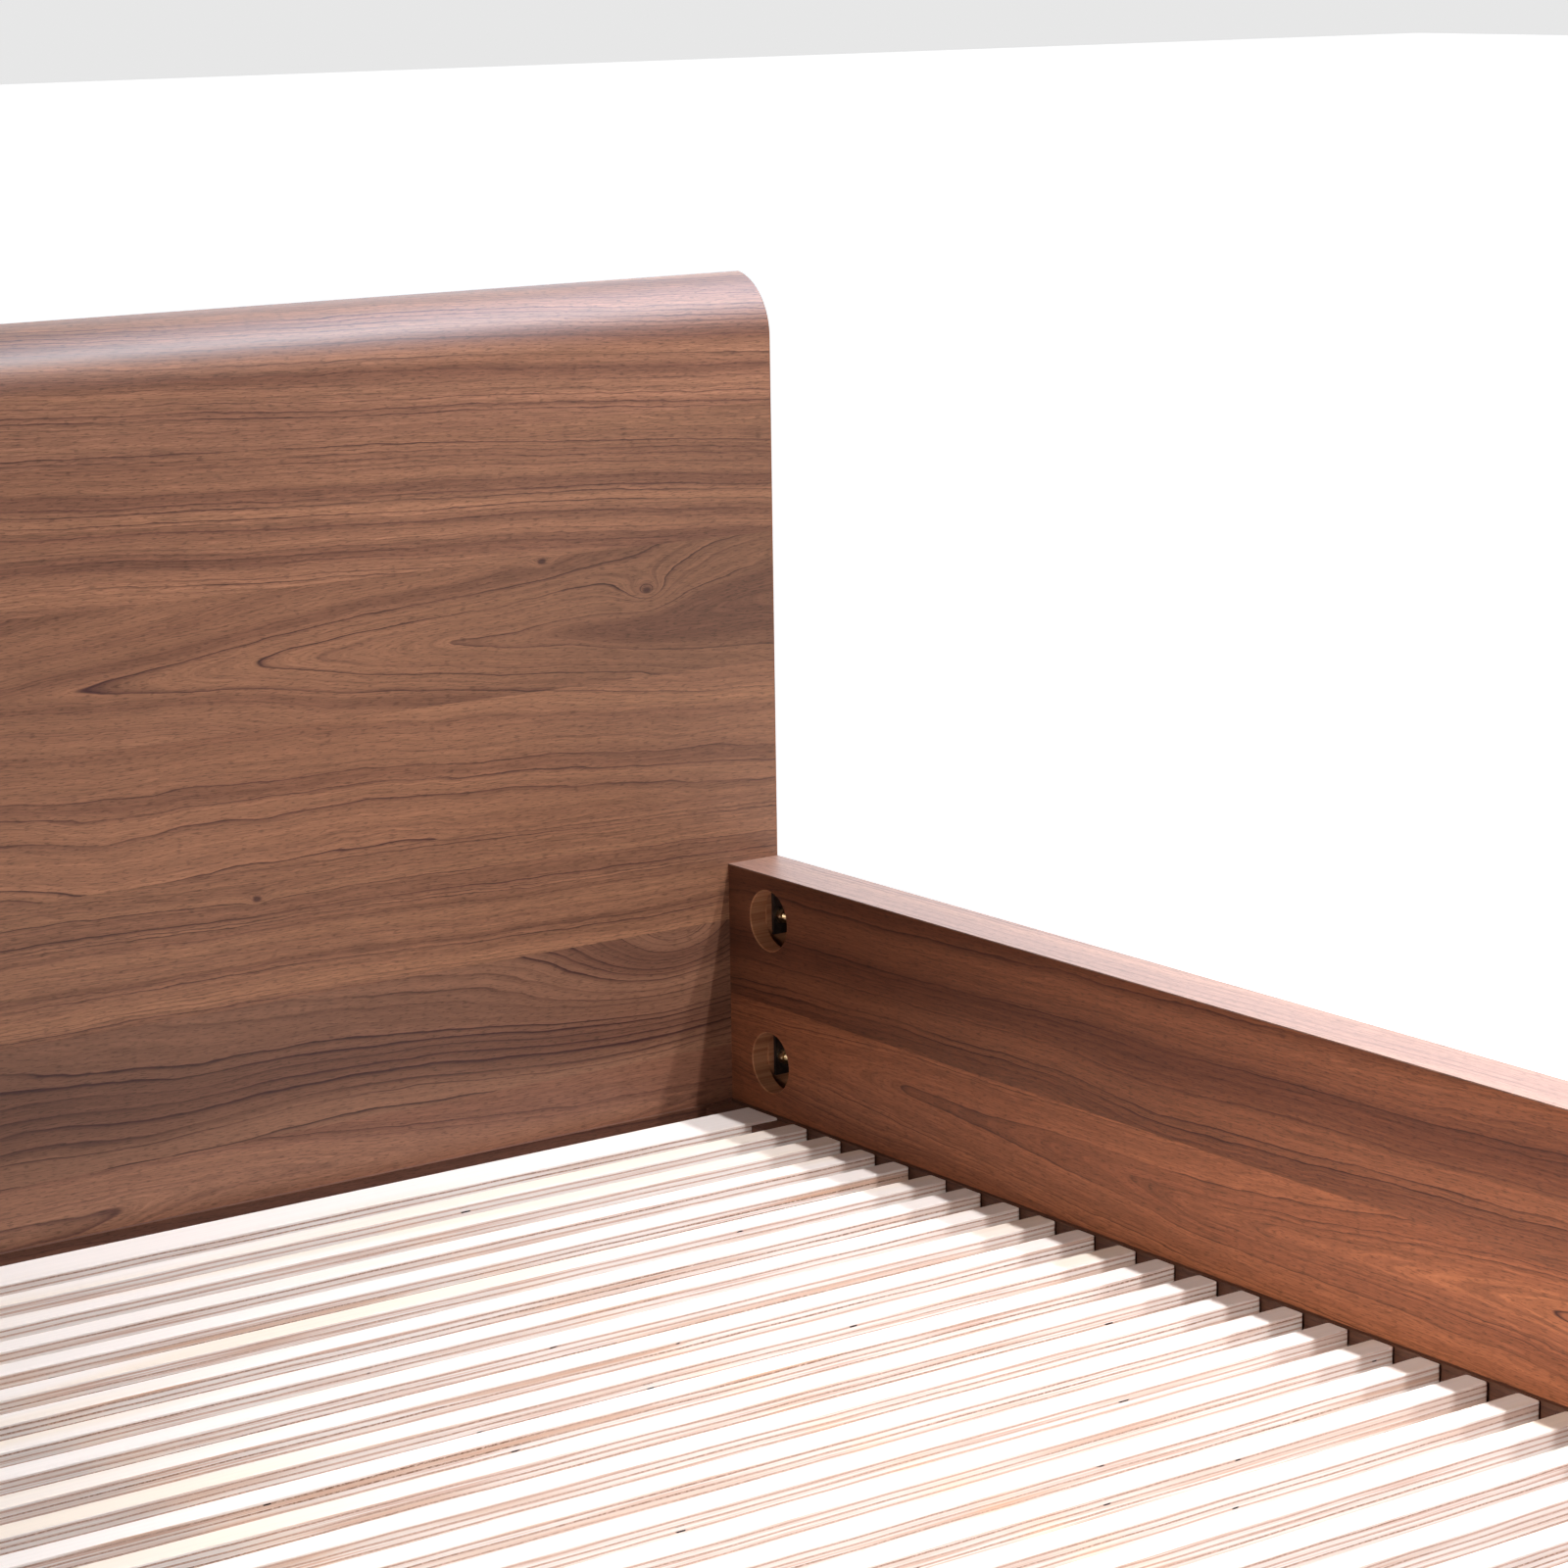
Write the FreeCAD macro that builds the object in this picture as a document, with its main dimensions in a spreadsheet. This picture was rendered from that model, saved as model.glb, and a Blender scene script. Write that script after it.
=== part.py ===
import FreeCAD
import Part
import Sketcher
import math
import os
import re

# Sleigh bed: a tall rolled headboard, a low rolled footboard, two hollow-core rails, four
# rabbeted ledgers, a deck of narrow plywood slats, and a centre beam on two levelling legs.
# Millimetres. +Z is up, +Y points at the headboard and +X at the right-hand rail, seen from the
# foot. The origin is on the floor, in the middle of the footprint.

FIGURES = {
    # Plan and heights
    "inner_width": 1550,
    "inner_length": 2050,
    "headboard_height": 900,
    "footboard_height": 520,
    "rail_bottom": 120,
    "rail_height": 300,
    "deck_drop": 200,
    # Rolled end panels
    "panel_thickness": 28,
    "roll_radius": 52,
    "roll_angle": 80,
    "edge_band": 1,
    "glide_height": 5,
    "glide_radius": 12.5,
    "glide_inset": 90,
    # Hollow-core rails
    "inner_skin": 15,
    "rail_core": 25,
    "outer_skin": 10,
    "rail_band": 1,
    "core_strip": 12,
    "end_block": 32,
    "rib_thickness": 20,
    "rib_spacing": 400,
    # Rail bolts behind the access holes
    "access_radius": 25,
    "access_inset": 55,
    "access_drop": 38.5,
    "access_spacing": 119.5,
    "bolt_drop": 2.5,
    "bolt_radius": 4,
    "bolt_clearance": 0.5,
    "thread_gap": 0.05,
    "bolt_grip": 18,
    "bolt_tail": 5,
    "insert_radius": 6,
    "insert_length": 20,
    "plate_width": 15,
    "plate_height": 36,
    "plate_thickness": 3,
    "nut_radius": 7.5,
    "nut_height": 6.5,
    "dowel_radius": 4,
    "dowel_length": 40,
    "dowel_drop": 98,
    "dowel_spacing": 140,
    # Ledgers and corner blocks
    "ledger_height": 40,
    "ledger_thickness": 22,
    "ledger_lip": 4,
    "screw_radius": 2,
    "screw_head_radius": 4,
    "screw_head_height": 2.5,
    "screw_bite": 12,
    "block_width": 25.5,
    "block_length": 84,
    "block_screw_inset": 63,
    # Slats
    "slat_thickness": 18,
    "slat_width": 20.5,
    "slat_end_gap": 1,
    "wide_slat_inset": 29.5,
    "wide_slat_width": 41,
    "wide_slat_gap": 23.2,
    "notch_lip": 2.5,
    "notch_gap": 1,
    "batten_width": 30,
    "batten_thickness": 9,
    # Centre beam, hangers, legs and levellers
    "beam_width": 45,
    "beam_height": 70,
    "beam_end_gap": 2,
    "hanger_reach": 70,
    "hanger_plate": 3,
    "hanger_gap": 0.5,
    "hanger_screw_spacing": 24,
    "leg_width": 50,
    "leg_spacing": 700,
    "leg_bolt_grip": 36,
    "pad_radius": 20,
    "pad_height": 8,
    "pad_socket": 4,
    "leveller_gap": 16,
    "stud_radius": 5,
    "stud_length": 45,
    "collar_radius": 9,
    "collar_height": 6,
    "collet_radius": 8,
    "collet_length": 25,
    "retract_room": 10,
}

NARROW_SLATS_PER_SECTION = 14
DECK_SECTIONS = 3
NARROW_SLATS = NARROW_SLATS_PER_SECTION * DECK_SECTIONS
RIBS_PER_RAIL = 4
SIDE_LEDGER_SCREWS = 6
END_LEDGER_SCREWS = 4

RIGHT_LEFT = {"right": 1, "left": -1}
HEAD_FOOT = {"head": 1, "foot": -1}

# Places that several pieces share, as formulas of the figures above
INNER_X = "inner_width / 2"
CORE_IN = f"{INNER_X} + inner_skin"
CORE_OUT = f"{CORE_IN} + rail_core"
OUTER_X = f"{CORE_OUT} + outer_skin"
BOLT_X = f"{CORE_IN} + rail_core / 2"
FACE_Y = "inner_length / 2"
RAIL_TOP = "rail_bottom + rail_height"
DECK = f"{RAIL_TOP} - deck_drop"
LEDGE = f"{DECK} - slat_thickness"
LEDGER_BOTTOM = f"{DECK} - ledger_height"
BEAM_BOTTOM = f"{LEDGE} - beam_height"
LEG_BOTTOM = "pad_height + leveller_gap"
FIRST_NARROW = "wide_slat_inset + wide_slat_width + wide_slat_gap"
SLAT_END = f"{INNER_X} - ledger_lip - slat_end_gap"
BLOCK_IN = f"{INNER_X} - ledger_lip - block_width"
PLATE_FACE = "end_block + plate_thickness"

doc = FreeCAD.newDocument("SleighBed")
sheet = doc.addObject("Spreadsheet::Sheet", "Sizes")
for row, (name, value) in enumerate(FIGURES.items(), start=1):
    sheet.set(f"A{row}", name)
    sheet.set(f"B{row}", str(value))
    sheet.setAlias(f"B{row}", name)
doc.recompute()

nodes = []


def formula(text):
    """Point each size name of a formula at its cell in the sheet."""
    def in_sheet(word):
        return f"Sizes.{word.group()}" if word.group() in FIGURES else word.group()

    return re.sub(r"[a-z]\w+", in_sheet, text)


def figure(name):
    """Read one size back from the sheet."""
    return float(sheet.get(name))


def node(piece, label):
    """Name a finished piece and keep it for export."""
    piece.Label = label
    nodes.append(piece)
    return piece


def flip(sign, span):
    """Mirror a low-high span to the other side of the bed when the sign is negative."""
    low, high = span
    return span if sign > 0 else (f"-({high})", f"-({low})")


def times(sign, place):
    """Mirror one coordinate."""
    return f"{sign} * ({place})"


def bind_base(piece, base):
    """Tie a piece's position to three formulas."""
    for axis, place in zip("xyz", base):
        piece.setExpression(f"Placement.Base.{axis}", formula(place))


def block(x, y, z):
    """Make a rectangular block between two formulas along each axis."""
    piece = doc.addObject("Part::Box", "Block")
    for side, (low, high) in zip(("Length", "Width", "Height"), (x, y, z)):
        piece.setExpression(side, formula(f"({high}) - ({low})"))
    bind_base(piece, (x[0], y[0], z[0]))
    return piece


def turn_to(piece, direction):
    """Turn a piece that was made along Z to a direction."""
    turn = FreeCAD.Rotation(FreeCAD.Vector(0, 0, 1), FreeCAD.Vector(*direction))
    piece.Placement = FreeCAD.Placement(FreeCAD.Vector(), turn)


def rod(radius, length, base, direction):
    """Make a round bar from a base point along a direction."""
    piece = doc.addObject("Part::Cylinder", "Rod")
    turn_to(piece, direction)
    piece.setExpression("Radius", formula(radius))
    piece.setExpression("Height", formula(length))
    bind_base(piece, base)
    return piece


def hexagon(radius, height, base, direction):
    """Make a hexagonal bar from a base point along a direction."""
    piece = doc.addObject("Part::Prism", "Hexagon")
    piece.Polygon = 6
    turn_to(piece, direction)
    piece.setExpression("Circumradius", formula(radius))
    piece.setExpression("Height", formula(height))
    bind_base(piece, base)
    return piece


def cone(base_radius, top_radius, height, base, direction):
    """Make a truncated cone from a base point along a direction."""
    piece = doc.addObject("Part::Cone", "Taper")
    turn_to(piece, direction)
    piece.setExpression("Radius1", formula(base_radius))
    piece.setExpression("Radius2", formula(top_radius))
    piece.setExpression("Height", formula(height))
    bind_base(piece, base)
    return piece


def together(pieces):
    """Hold separate solids as one object."""
    held = doc.addObject("Part::Compound", "Group")
    held.Links = pieces
    return held


def without(piece, tools):
    """Cut a list of tools out of a piece."""
    result = doc.addObject("Part::Cut", "Cut")
    result.Base = piece
    result.Tool = tools[0] if len(tools) == 1 else together(tools)
    return result


def joined(first, second):
    """Join two touching solids into one."""
    result = doc.addObject("Part::Fuse", "Joined")
    result.Base = first
    result.Tool = second
    return result


def along(base, direction, distance):
    """Move a base point along an axis direction by a formula."""
    return tuple(f"{place} + {step} * ({distance})" if step else place for place, step in zip(base, direction))


def screw(face, direction, length):
    """Make a countersunk screw from the middle of its flat head along a direction."""
    head = cone("screw_head_radius", "screw_radius", "screw_head_height", face, direction)
    shank = rod("screw_radius", length, face, direction)
    return joined(head, shank)


def screw_hole(face, direction, length):
    """Make the tool for a countersunk screw's hole."""
    head = cone("screw_head_radius + thread_gap", "screw_radius + thread_gap", "screw_head_height", face, direction)
    shank = rod("screw_radius + thread_gap", length, face, direction)
    return joined(head, shank)


def pilot(face, direction, length):
    """Make the tool for the straight hole that a screw bites into."""
    return rod("screw_radius + thread_gap", length, face, direction)


# Rolled panels: one profile, drawn on the YZ plane with the sleeper's side on the sketch's
# vertical axis, rising straight and rolling outwards through the roll angle.

def rolled_profile(body, height_name):
    """Sketch the end panel's section: straight rise, outward roll, square-cut end."""
    sketch = body.newObject("Sketcher::SketchObject", "Section")
    plane = next(item for item in body.Origin.OriginFeatures if item.Role == "YZ_Plane")
    sketch.AttachmentSupport = [(plane, "")]
    sketch.MapMode = "FlatFace"
    outer = figure("roll_radius")
    inner = outer - figure("panel_thickness")
    angle = math.radians(figure("roll_angle"))
    foot = figure("glide_height")
    straight = figure(height_name) - outer * math.sin(angle)
    centre = FreeCAD.Vector(outer, straight, 0)
    end = math.pi - angle

    def on_arc(radius, at):
        return centre + FreeCAD.Vector(radius * math.cos(at), radius * math.sin(at), 0)

    def arc(radius):
        circle = Part.Circle(centre, FreeCAD.Vector(0, 0, 1), radius)
        return Part.ArcOfCircle(circle, end, math.pi)

    thickness = outer - inner
    front, roll, cut_end, back_roll, back, base = sketch.addGeometry([
        Part.LineSegment(FreeCAD.Vector(0, foot, 0), FreeCAD.Vector(0, straight, 0)),
        arc(outer),
        Part.LineSegment(on_arc(outer, end), on_arc(inner, end)),
        arc(inner),
        Part.LineSegment(FreeCAD.Vector(thickness, straight, 0), FreeCAD.Vector(thickness, foot, 0)),
        Part.LineSegment(FreeCAD.Vector(thickness, foot, 0), FreeCAD.Vector(0, foot, 0)),
    ])
    start, finish, middle, origin = 1, 2, 3, (-1, 1)
    for rule in (
        ("Coincident", front, finish, roll, finish),
        ("Coincident", roll, start, cut_end, start),
        ("Coincident", cut_end, finish, back_roll, start),
        ("Coincident", back_roll, finish, back, start),
        ("Coincident", back, finish, base, start),
        ("Coincident", base, finish, front, start),
        ("Coincident", roll, middle, back_roll, middle),
        ("Vertical", front),
        ("Vertical", back),
        ("Horizontal", base),
        ("Horizontal", roll, finish, roll, middle),
        ("Horizontal", back_roll, finish, back_roll, middle),
        ("PointOnObject", front, start, -2),
    ):
        sketch.addConstraint(Sketcher.Constraint(*rule))
    driven = (
        ("foot", ("DistanceY", *origin, front, start), foot, "glide_height"),
        ("rise", ("DistanceY", *origin, roll, start), figure(height_name), height_name),
        ("roll", ("Radius", roll), outer, "roll_radius"),
        ("thick", ("Distance", base), thickness, "panel_thickness"),
    )
    for name, rule, value, text in driven:
        index = sketch.addConstraint(Sketcher.Constraint(*rule, value))
        sketch.renameConstraint(index, name)
        sketch.setExpression(f"Constraints.{name}", formula(text))
    slope = sketch.addConstraint(Sketcher.Constraint("PointOnObject", roll, middle, cut_end))
    turn = sketch.addConstraint(Sketcher.Constraint("Angle", roll, angle))
    sketch.renameConstraint(slope, "radial")
    sketch.renameConstraint(turn, "turn")
    sketch.setExpression("Constraints.turn", formula("roll_angle * 1 deg"))
    return sketch


def rolled_body(height_name, low_x, width, end_sign):
    """Pad the rolled section across the bed, facing inwards at the head or the foot."""
    body = doc.addObject("PartDesign::Body", "Rolled")
    sketch = rolled_profile(body, height_name)
    pad = body.newObject("PartDesign::Pad", "Width")
    pad.Profile = sketch
    pad.setExpression("Length", formula(width))
    sketch.Visibility = False
    if end_sign < 0:
        half_turn = FreeCAD.Rotation(FreeCAD.Vector(0, 0, 1), 180)
        body.Placement = FreeCAD.Placement(FreeCAD.Vector(), half_turn)
        low_x = f"{low_x} + {width}"
    bind_base(body, (low_x, times(end_sign, FACE_Y), "0"))
    return body


def bolt_levels():
    """Heights of a rail end's two bolts, upper first."""
    upper = f"{RAIL_TOP} - access_drop - bolt_drop"
    return upper, f"{upper} - access_spacing"


def dowel_levels():
    """Heights of a rail end's two dowels, upper first."""
    upper = f"{RAIL_TOP} - dowel_drop"
    return upper, f"{upper} - dowel_spacing"


def spread(index, count, span):
    """Place one of several evenly spread points along a span centred on the bed."""
    return f"({index + 0.5} / {count} - 0.5) * ({span})"


def end_ledger_screw_places():
    """X places of the screws in a head or foot ledger."""
    return [spread(index, END_LEDGER_SCREWS, "inner_width") for index in range(END_LEDGER_SCREWS)]


def side_ledger_screw_places():
    """Y places of the screws in a side ledger."""
    return [spread(index, SIDE_LEDGER_SCREWS, "inner_length") for index in range(SIDE_LEDGER_SCREWS)]


SCREW_LEVEL = f"({LEDGE} + {LEDGER_BOTTOM}) / 2"
HANGER_SCREW_LEVEL = f"({BEAM_BOTTOM} + {LEDGER_BOTTOM}) / 2"
HANGER_SCREW_PLACES = ["hanger_screw_spacing / 2", "-hanger_screw_spacing / 2"]


def rail_end_points(end_sign, levels):
    """Points on one end panel's face where both rails meet it, at the given heights."""
    face = times(end_sign, FACE_Y)
    return [(times(side, BOLT_X), face, level) for side in RIGHT_LEFT.values() for level in levels]


def make_panel(end, end_sign, height_name):
    """Make a rolled panel with its edge bands, its glides and every hole that it holds."""
    outward = (0, end_sign, 0)
    face = times(end_sign, FACE_Y)
    width = f"2 * ({OUTER_X}) - 2 * edge_band"
    sheet_body = rolled_body(height_name, f"-({OUTER_X}) + edge_band", width, end_sign)
    holes = [rod("insert_radius", "insert_length", point, outward)
             for point in rail_end_points(end_sign, bolt_levels())]
    holes += [rod("dowel_radius", "dowel_length / 2", point, outward)
              for point in rail_end_points(end_sign, dowel_levels())]
    screw_places = [(place, face, SCREW_LEVEL) for place in end_ledger_screw_places()]
    screw_places += [(place, face, HANGER_SCREW_LEVEL) for place in HANGER_SCREW_PLACES]
    holes += [pilot(place, outward, "screw_bite") for place in screw_places]
    node(without(sheet_body, holes), f"{end}board_panel")
    for side, sign in RIGHT_LEFT.items():
        low = f"({OUTER_X}) - edge_band" if sign > 0 else f"-({OUTER_X})"
        node(rolled_body(height_name, low, "edge_band", end_sign), f"{end}board_edge_band_{side}")
    glide_y = f"{face} + {end_sign} * panel_thickness / 2"
    glide_xs = [f"({OUTER_X}) - glide_inset", "0", f"-({OUTER_X}) + glide_inset"]
    glides = [rod("glide_radius", "glide_height", (place, glide_y, "0"), (0, 0, 1)) for place in glide_xs]
    node(together(glides), f"{end}board_glides")


def make_rail(side, sign):
    """Make one hollow-core rail: skins, bands, core strips, drilled end blocks and ribs."""
    bottom = "rail_bottom + rail_band"
    top = f"{RAIL_TOP} - rail_band"
    length = (f"-({FACE_Y})", FACE_Y)
    core = flip(sign, (CORE_IN, CORE_OUT))
    inward = (-sign, 0, 0)
    outward = (sign, 0, 0)
    inner_face = times(sign, INNER_X)
    upper = f"{RAIL_TOP} - access_drop"
    holes = []
    for end_sign in HEAD_FOOT.values():
        for level in (upper, f"{upper} - access_spacing"):
            centre = (inner_face, times(end_sign, f"{FACE_Y} - access_inset"), level)
            holes.append(rod("access_radius", "inner_skin", centre, outward))
    holes += [pilot((inner_face, place, SCREW_LEVEL), outward, "screw_bite")
              for place in side_ledger_screw_places()]
    skin = block(flip(sign, (INNER_X, CORE_IN)), length, (bottom, top))
    node(without(skin, holes), f"{side}_rail_inner_skin")
    node(block(flip(sign, (CORE_OUT, OUTER_X)), length, (bottom, top)), f"{side}_rail_outer_skin")
    full = flip(sign, (INNER_X, OUTER_X))
    node(block(full, length, (top, RAIL_TOP)), f"{side}_rail_top_band")
    node(block(full, length, ("rail_bottom", bottom)), f"{side}_rail_bottom_band")
    core_low = f"{bottom} + core_strip"
    core_high = f"{top} - core_strip"
    node(block(core, length, (core_high, top)), f"{side}_rail_top_strip")
    node(block(core, length, (bottom, core_low)), f"{side}_rail_bottom_strip")
    for end, end_sign in HEAD_FOOT.items():
        blank = block(core, flip(end_sign, (f"{FACE_Y} - end_block", FACE_Y)), (core_low, core_high))
        back = (0, -end_sign, 0)
        place = (times(sign, BOLT_X), times(end_sign, FACE_Y))
        bores = [rod("bolt_radius + bolt_clearance", "end_block", (*place, level), back)
                 for level in bolt_levels()]
        bores += [rod("dowel_radius", "dowel_length / 2", (*place, level), back)
                  for level in dowel_levels()]
        node(without(blank, bores), f"{side}_rail_end_block_{end}")
    ribs = []
    for index in range(RIBS_PER_RAIL):
        middle = f"{index - (RIBS_PER_RAIL - 1) / 2} * rib_spacing"
        span = (f"{middle} - rib_thickness / 2", f"{middle} + rib_thickness / 2")
        ribs.append(block(core, span, (core_low, core_high)))
    node(together(ribs), f"{side}_rail_core_ribs")


def make_rail_bolts():
    """Make the bolts, inserts, backing plates, nuts and dowels of the four rail ends."""
    bolts, inserts, plates, nuts, dowels = [], [], [], [], []
    for end_sign in HEAD_FOOT.values():
        outward = (0, end_sign, 0)
        back = (0, -end_sign, 0)
        for point in rail_end_points(end_sign, bolt_levels()):
            tip = along(point, outward, "bolt_grip")
            reach = f"bolt_grip + {PLATE_FACE} + nut_height + bolt_tail"
            bolts.append(rod("bolt_radius", reach, tip, back))
            sleeve = rod("insert_radius", "insert_length", point, outward)
            socket = rod("bolt_radius + thread_gap", "insert_length", point, outward)
            inserts.append(without(sleeve, [socket]))
            plates.append(bolt_plate(point, end_sign))
            seat = along(point, back, PLATE_FACE)
            thread = rod("bolt_radius + thread_gap", "nut_height", seat, back)
            nuts.append(without(hexagon("nut_radius", "nut_height", seat, back), [thread]))
        for point in rail_end_points(end_sign, dowel_levels()):
            tip = along(point, outward, "dowel_length / 2")
            dowels.append(rod("dowel_radius", "dowel_length", tip, back))
    node(together(bolts), "rail_bolts")
    node(together(inserts), "panel_inserts")
    node(together(plates), "rail_bolt_plates")
    node(together(nuts), "rail_bolt_nuts")
    node(together(dowels), "rail_dowels")


def bolt_plate(point, end_sign):
    """Make the steel plate that spreads one nut's load over the end block."""
    middle_x, face, level = point
    width = (f"{middle_x} - plate_width / 2", f"{middle_x} + plate_width / 2")
    height = (f"{level} - plate_height / 2 + bolt_drop", f"{level} + plate_height / 2 + bolt_drop")
    depth = flip(end_sign, (f"{FACE_Y} - ({PLATE_FACE})", f"{FACE_Y} - end_block"))
    bore = rod("bolt_radius + bolt_clearance", PLATE_FACE, point, (0, -end_sign, 0))
    return without(block(width, depth, height), [bore])


def mitre_tool(side_sign, end_sign, keeps_side):
    """Make the block that trims a ledger at 45 degrees where it meets its neighbour in a corner."""
    away = (-side_sign, end_sign) if keeps_side else (side_sign, -end_sign)
    inwards = (-side_sign, -end_sign)
    turned_left = away[0] * inwards[1] - away[1] * inwards[0] > 0
    first = away if turned_left else inwards
    tool = doc.addObject("Part::Box", "Mitre")
    heading = math.degrees(math.atan2(first[1], first[0]))
    turn = FreeCAD.Rotation(FreeCAD.Vector(0, 0, 1), heading)
    tool.Placement = FreeCAD.Placement(FreeCAD.Vector(), turn)
    for side in ("Length", "Width"):
        tool.setExpression(side, formula("ledger_thickness * 2"))
    tool.setExpression("Height", formula("ledger_height"))
    bind_base(tool, (times(side_sign, INNER_X), times(end_sign, FACE_Y), LEDGER_BOTTOM))
    return tool


def make_ledgers():
    """Make the four rabbeted ledgers, mitred at the corners, and their screws."""
    screws = []
    height = (LEDGER_BOTTOM, DECK)
    rabbet_height = (LEDGE, DECK)
    reach = "ledger_thickness + screw_bite"
    for side, sign in RIGHT_LEFT.items():
        length = (f"-({FACE_Y})", FACE_Y)
        inner = f"{INNER_X} - ledger_thickness"
        blank = block(flip(sign, (inner, INNER_X)), length, height)
        tools = [block(flip(sign, (inner, f"{INNER_X} - ledger_lip")), length, rabbet_height)]
        tools += [mitre_tool(sign, end_sign, True) for end_sign in HEAD_FOOT.values()]
        faces = [(times(sign, inner), place, SCREW_LEVEL) for place in side_ledger_screw_places()]
        tools += [screw_hole(face, (sign, 0, 0), "ledger_thickness") for face in faces]
        tools += [pilot(corner_screw_point(sign, end_sign, LEDGE), (0, 0, -1), "screw_bite")
                  for end_sign in HEAD_FOOT.values()]
        node(trimmed(blank, tools), f"side_ledger_{side}")
        screws += [screw(face, (sign, 0, 0), reach) for face in faces]
    for end, sign in HEAD_FOOT.items():
        width = (f"-({INNER_X})", INNER_X)
        inner = f"{FACE_Y} - ledger_thickness"
        blank = block(width, flip(sign, (inner, FACE_Y)), height)
        tools = [block(width, flip(sign, (inner, f"{FACE_Y} - ledger_lip")), rabbet_height)]
        tools += [mitre_tool(side_sign, sign, False) for side_sign in RIGHT_LEFT.values()]
        faces = [(place, times(sign, inner), SCREW_LEVEL) for place in end_ledger_screw_places()]
        tools += [screw_hole(face, (0, sign, 0), "ledger_thickness") for face in faces]
        node(trimmed(blank, tools), f"{end}_ledger")
        screws += [screw(face, (0, sign, 0), reach) for face in faces]
    node(together(screws), "ledger_screws")


def trimmed(blank, tools):
    """Cut overlapping tools out of a blank one after another."""
    piece = blank
    for tool in tools:
        piece = without(piece, [tool])
    return piece


def corner_screw_point(side_sign, end_sign, level):
    """Find where a corner block's screw passes a level, over the side ledger's ledge."""
    x = times(side_sign, f"{INNER_X} - (ledger_lip + ledger_thickness) / 2")
    y = times(end_sign, f"{FACE_Y} - ledger_lip - block_screw_inset")
    return x, y, level


def make_corner_blocks():
    """Make the blocks that carry the notched slats' ends, and the screws that hold them."""
    top = f"{DECK} - notch_lip"
    screws = []
    for end, end_sign in HEAD_FOOT.items():
        pair = []
        for sign in RIGHT_LEFT.values():
            x = flip(sign, (BLOCK_IN, f"{INNER_X} - ledger_lip"))
            near = f"{FACE_Y} - ledger_lip"
            y = flip(end_sign, (f"{near} - block_length", near))
            point = corner_screw_point(sign, end_sign, top)
            hole = screw_hole(point, (0, 0, -1), "slat_thickness - notch_lip")
            pair.append(without(block(x, y, (LEDGE, top)), [hole]))
            screws.append(screw(point, (0, 0, -1), "slat_thickness - notch_lip + screw_bite"))
        node(together(pair), f"{end}_corner_blocks")
    node(together(screws), "corner_block_screws")


def make_slats():
    """Make the notched wide slat at each end and the sections of narrow slats between them."""
    length = (f"-({SLAT_END})", SLAT_END)
    height = (LEDGE, DECK)
    for end, sign in HEAD_FOOT.items():
        near = f"{FACE_Y} - wide_slat_inset"
        span = flip(sign, (f"{near} - wide_slat_width", near))
        notch = (f"{BLOCK_IN} - notch_gap", SLAT_END)
        notches = [block(flip(side, notch), span, (LEDGE, f"{DECK} - notch_lip"))
                   for side in RIGHT_LEFT.values()]
        node(without(block(length, span, height), notches), f"wide_slat_{end}")
    pitch = f"(inner_length - 2 * ({FIRST_NARROW}) - slat_width) / {NARROW_SLATS - 1}"
    for section in range(DECK_SECTIONS):
        slats = []
        for index in range(NARROW_SLATS_PER_SECTION):
            steps = section * NARROW_SLATS_PER_SECTION + index
            far = f"{FACE_Y} - ({FIRST_NARROW}) - {steps} * {pitch}"
            slats.append(block(length, (f"{far} - slat_width", far), height))
        node(together(slats), f"narrow_slats_{section + 1}")
    run = (f"-({FACE_Y}) + {FIRST_NARROW}", f"{FACE_Y} - ({FIRST_NARROW})")
    for side, sign in RIGHT_LEFT.items():
        middle = times(sign, "inner_width / 4")
        width = (f"{middle} - batten_width / 2", f"{middle} + batten_width / 2")
        node(block(width, run, (f"{LEDGE} - batten_thickness", LEDGE)), f"slat_batten_{side}")


def make_beam():
    """Make the centre beam, the hangers that hold its ends and the hangers' screws."""
    half = "beam_width / 2"
    stop = f"{FACE_Y} - ledger_thickness - beam_end_gap"
    blank = block((f"-{half}", half), (f"-({stop})", stop), (BEAM_BOTTOM, LEDGE))
    bores = [rod("bolt_radius", "leg_bolt_grip", ("0", place, BEAM_BOTTOM), (0, 0, 1))
             for place in leg_places().values()]
    node(without(blank, bores), "centre_beam")
    screws = []
    for end, sign in HEAD_FOOT.items():
        cheek = f"{half} + hanger_gap"
        outer = f"{cheek} + hanger_plate"
        near = f"{FACE_Y} - hanger_reach"
        top = f"{LEDGER_BOTTOM} - hanger_gap"
        back = f"{FACE_Y} - hanger_plate"
        floor = f"{BEAM_BOTTOM} - hanger_plate"
        shell = block((f"-({outer})", outer), flip(sign, (near, FACE_Y)), (floor, top))
        hollow = block((f"-({cheek})", cheek), flip(sign, (near, back)), (BEAM_BOTTOM, top))
        faces = [(place, times(sign, back), HANGER_SCREW_LEVEL) for place in HANGER_SCREW_PLACES]
        holes = [screw_hole(face, (0, sign, 0), "hanger_plate") for face in faces]
        node(trimmed(shell, [hollow, *holes]), f"beam_hanger_{end}")
        screws += [screw(face, (0, sign, 0), "hanger_plate + screw_bite") for face in faces]
    node(together(screws), "hanger_screws")


def leg_places():
    """Y places of the two centre legs."""
    return {"head": "leg_spacing / 2", "foot": "-leg_spacing / 2"}


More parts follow.
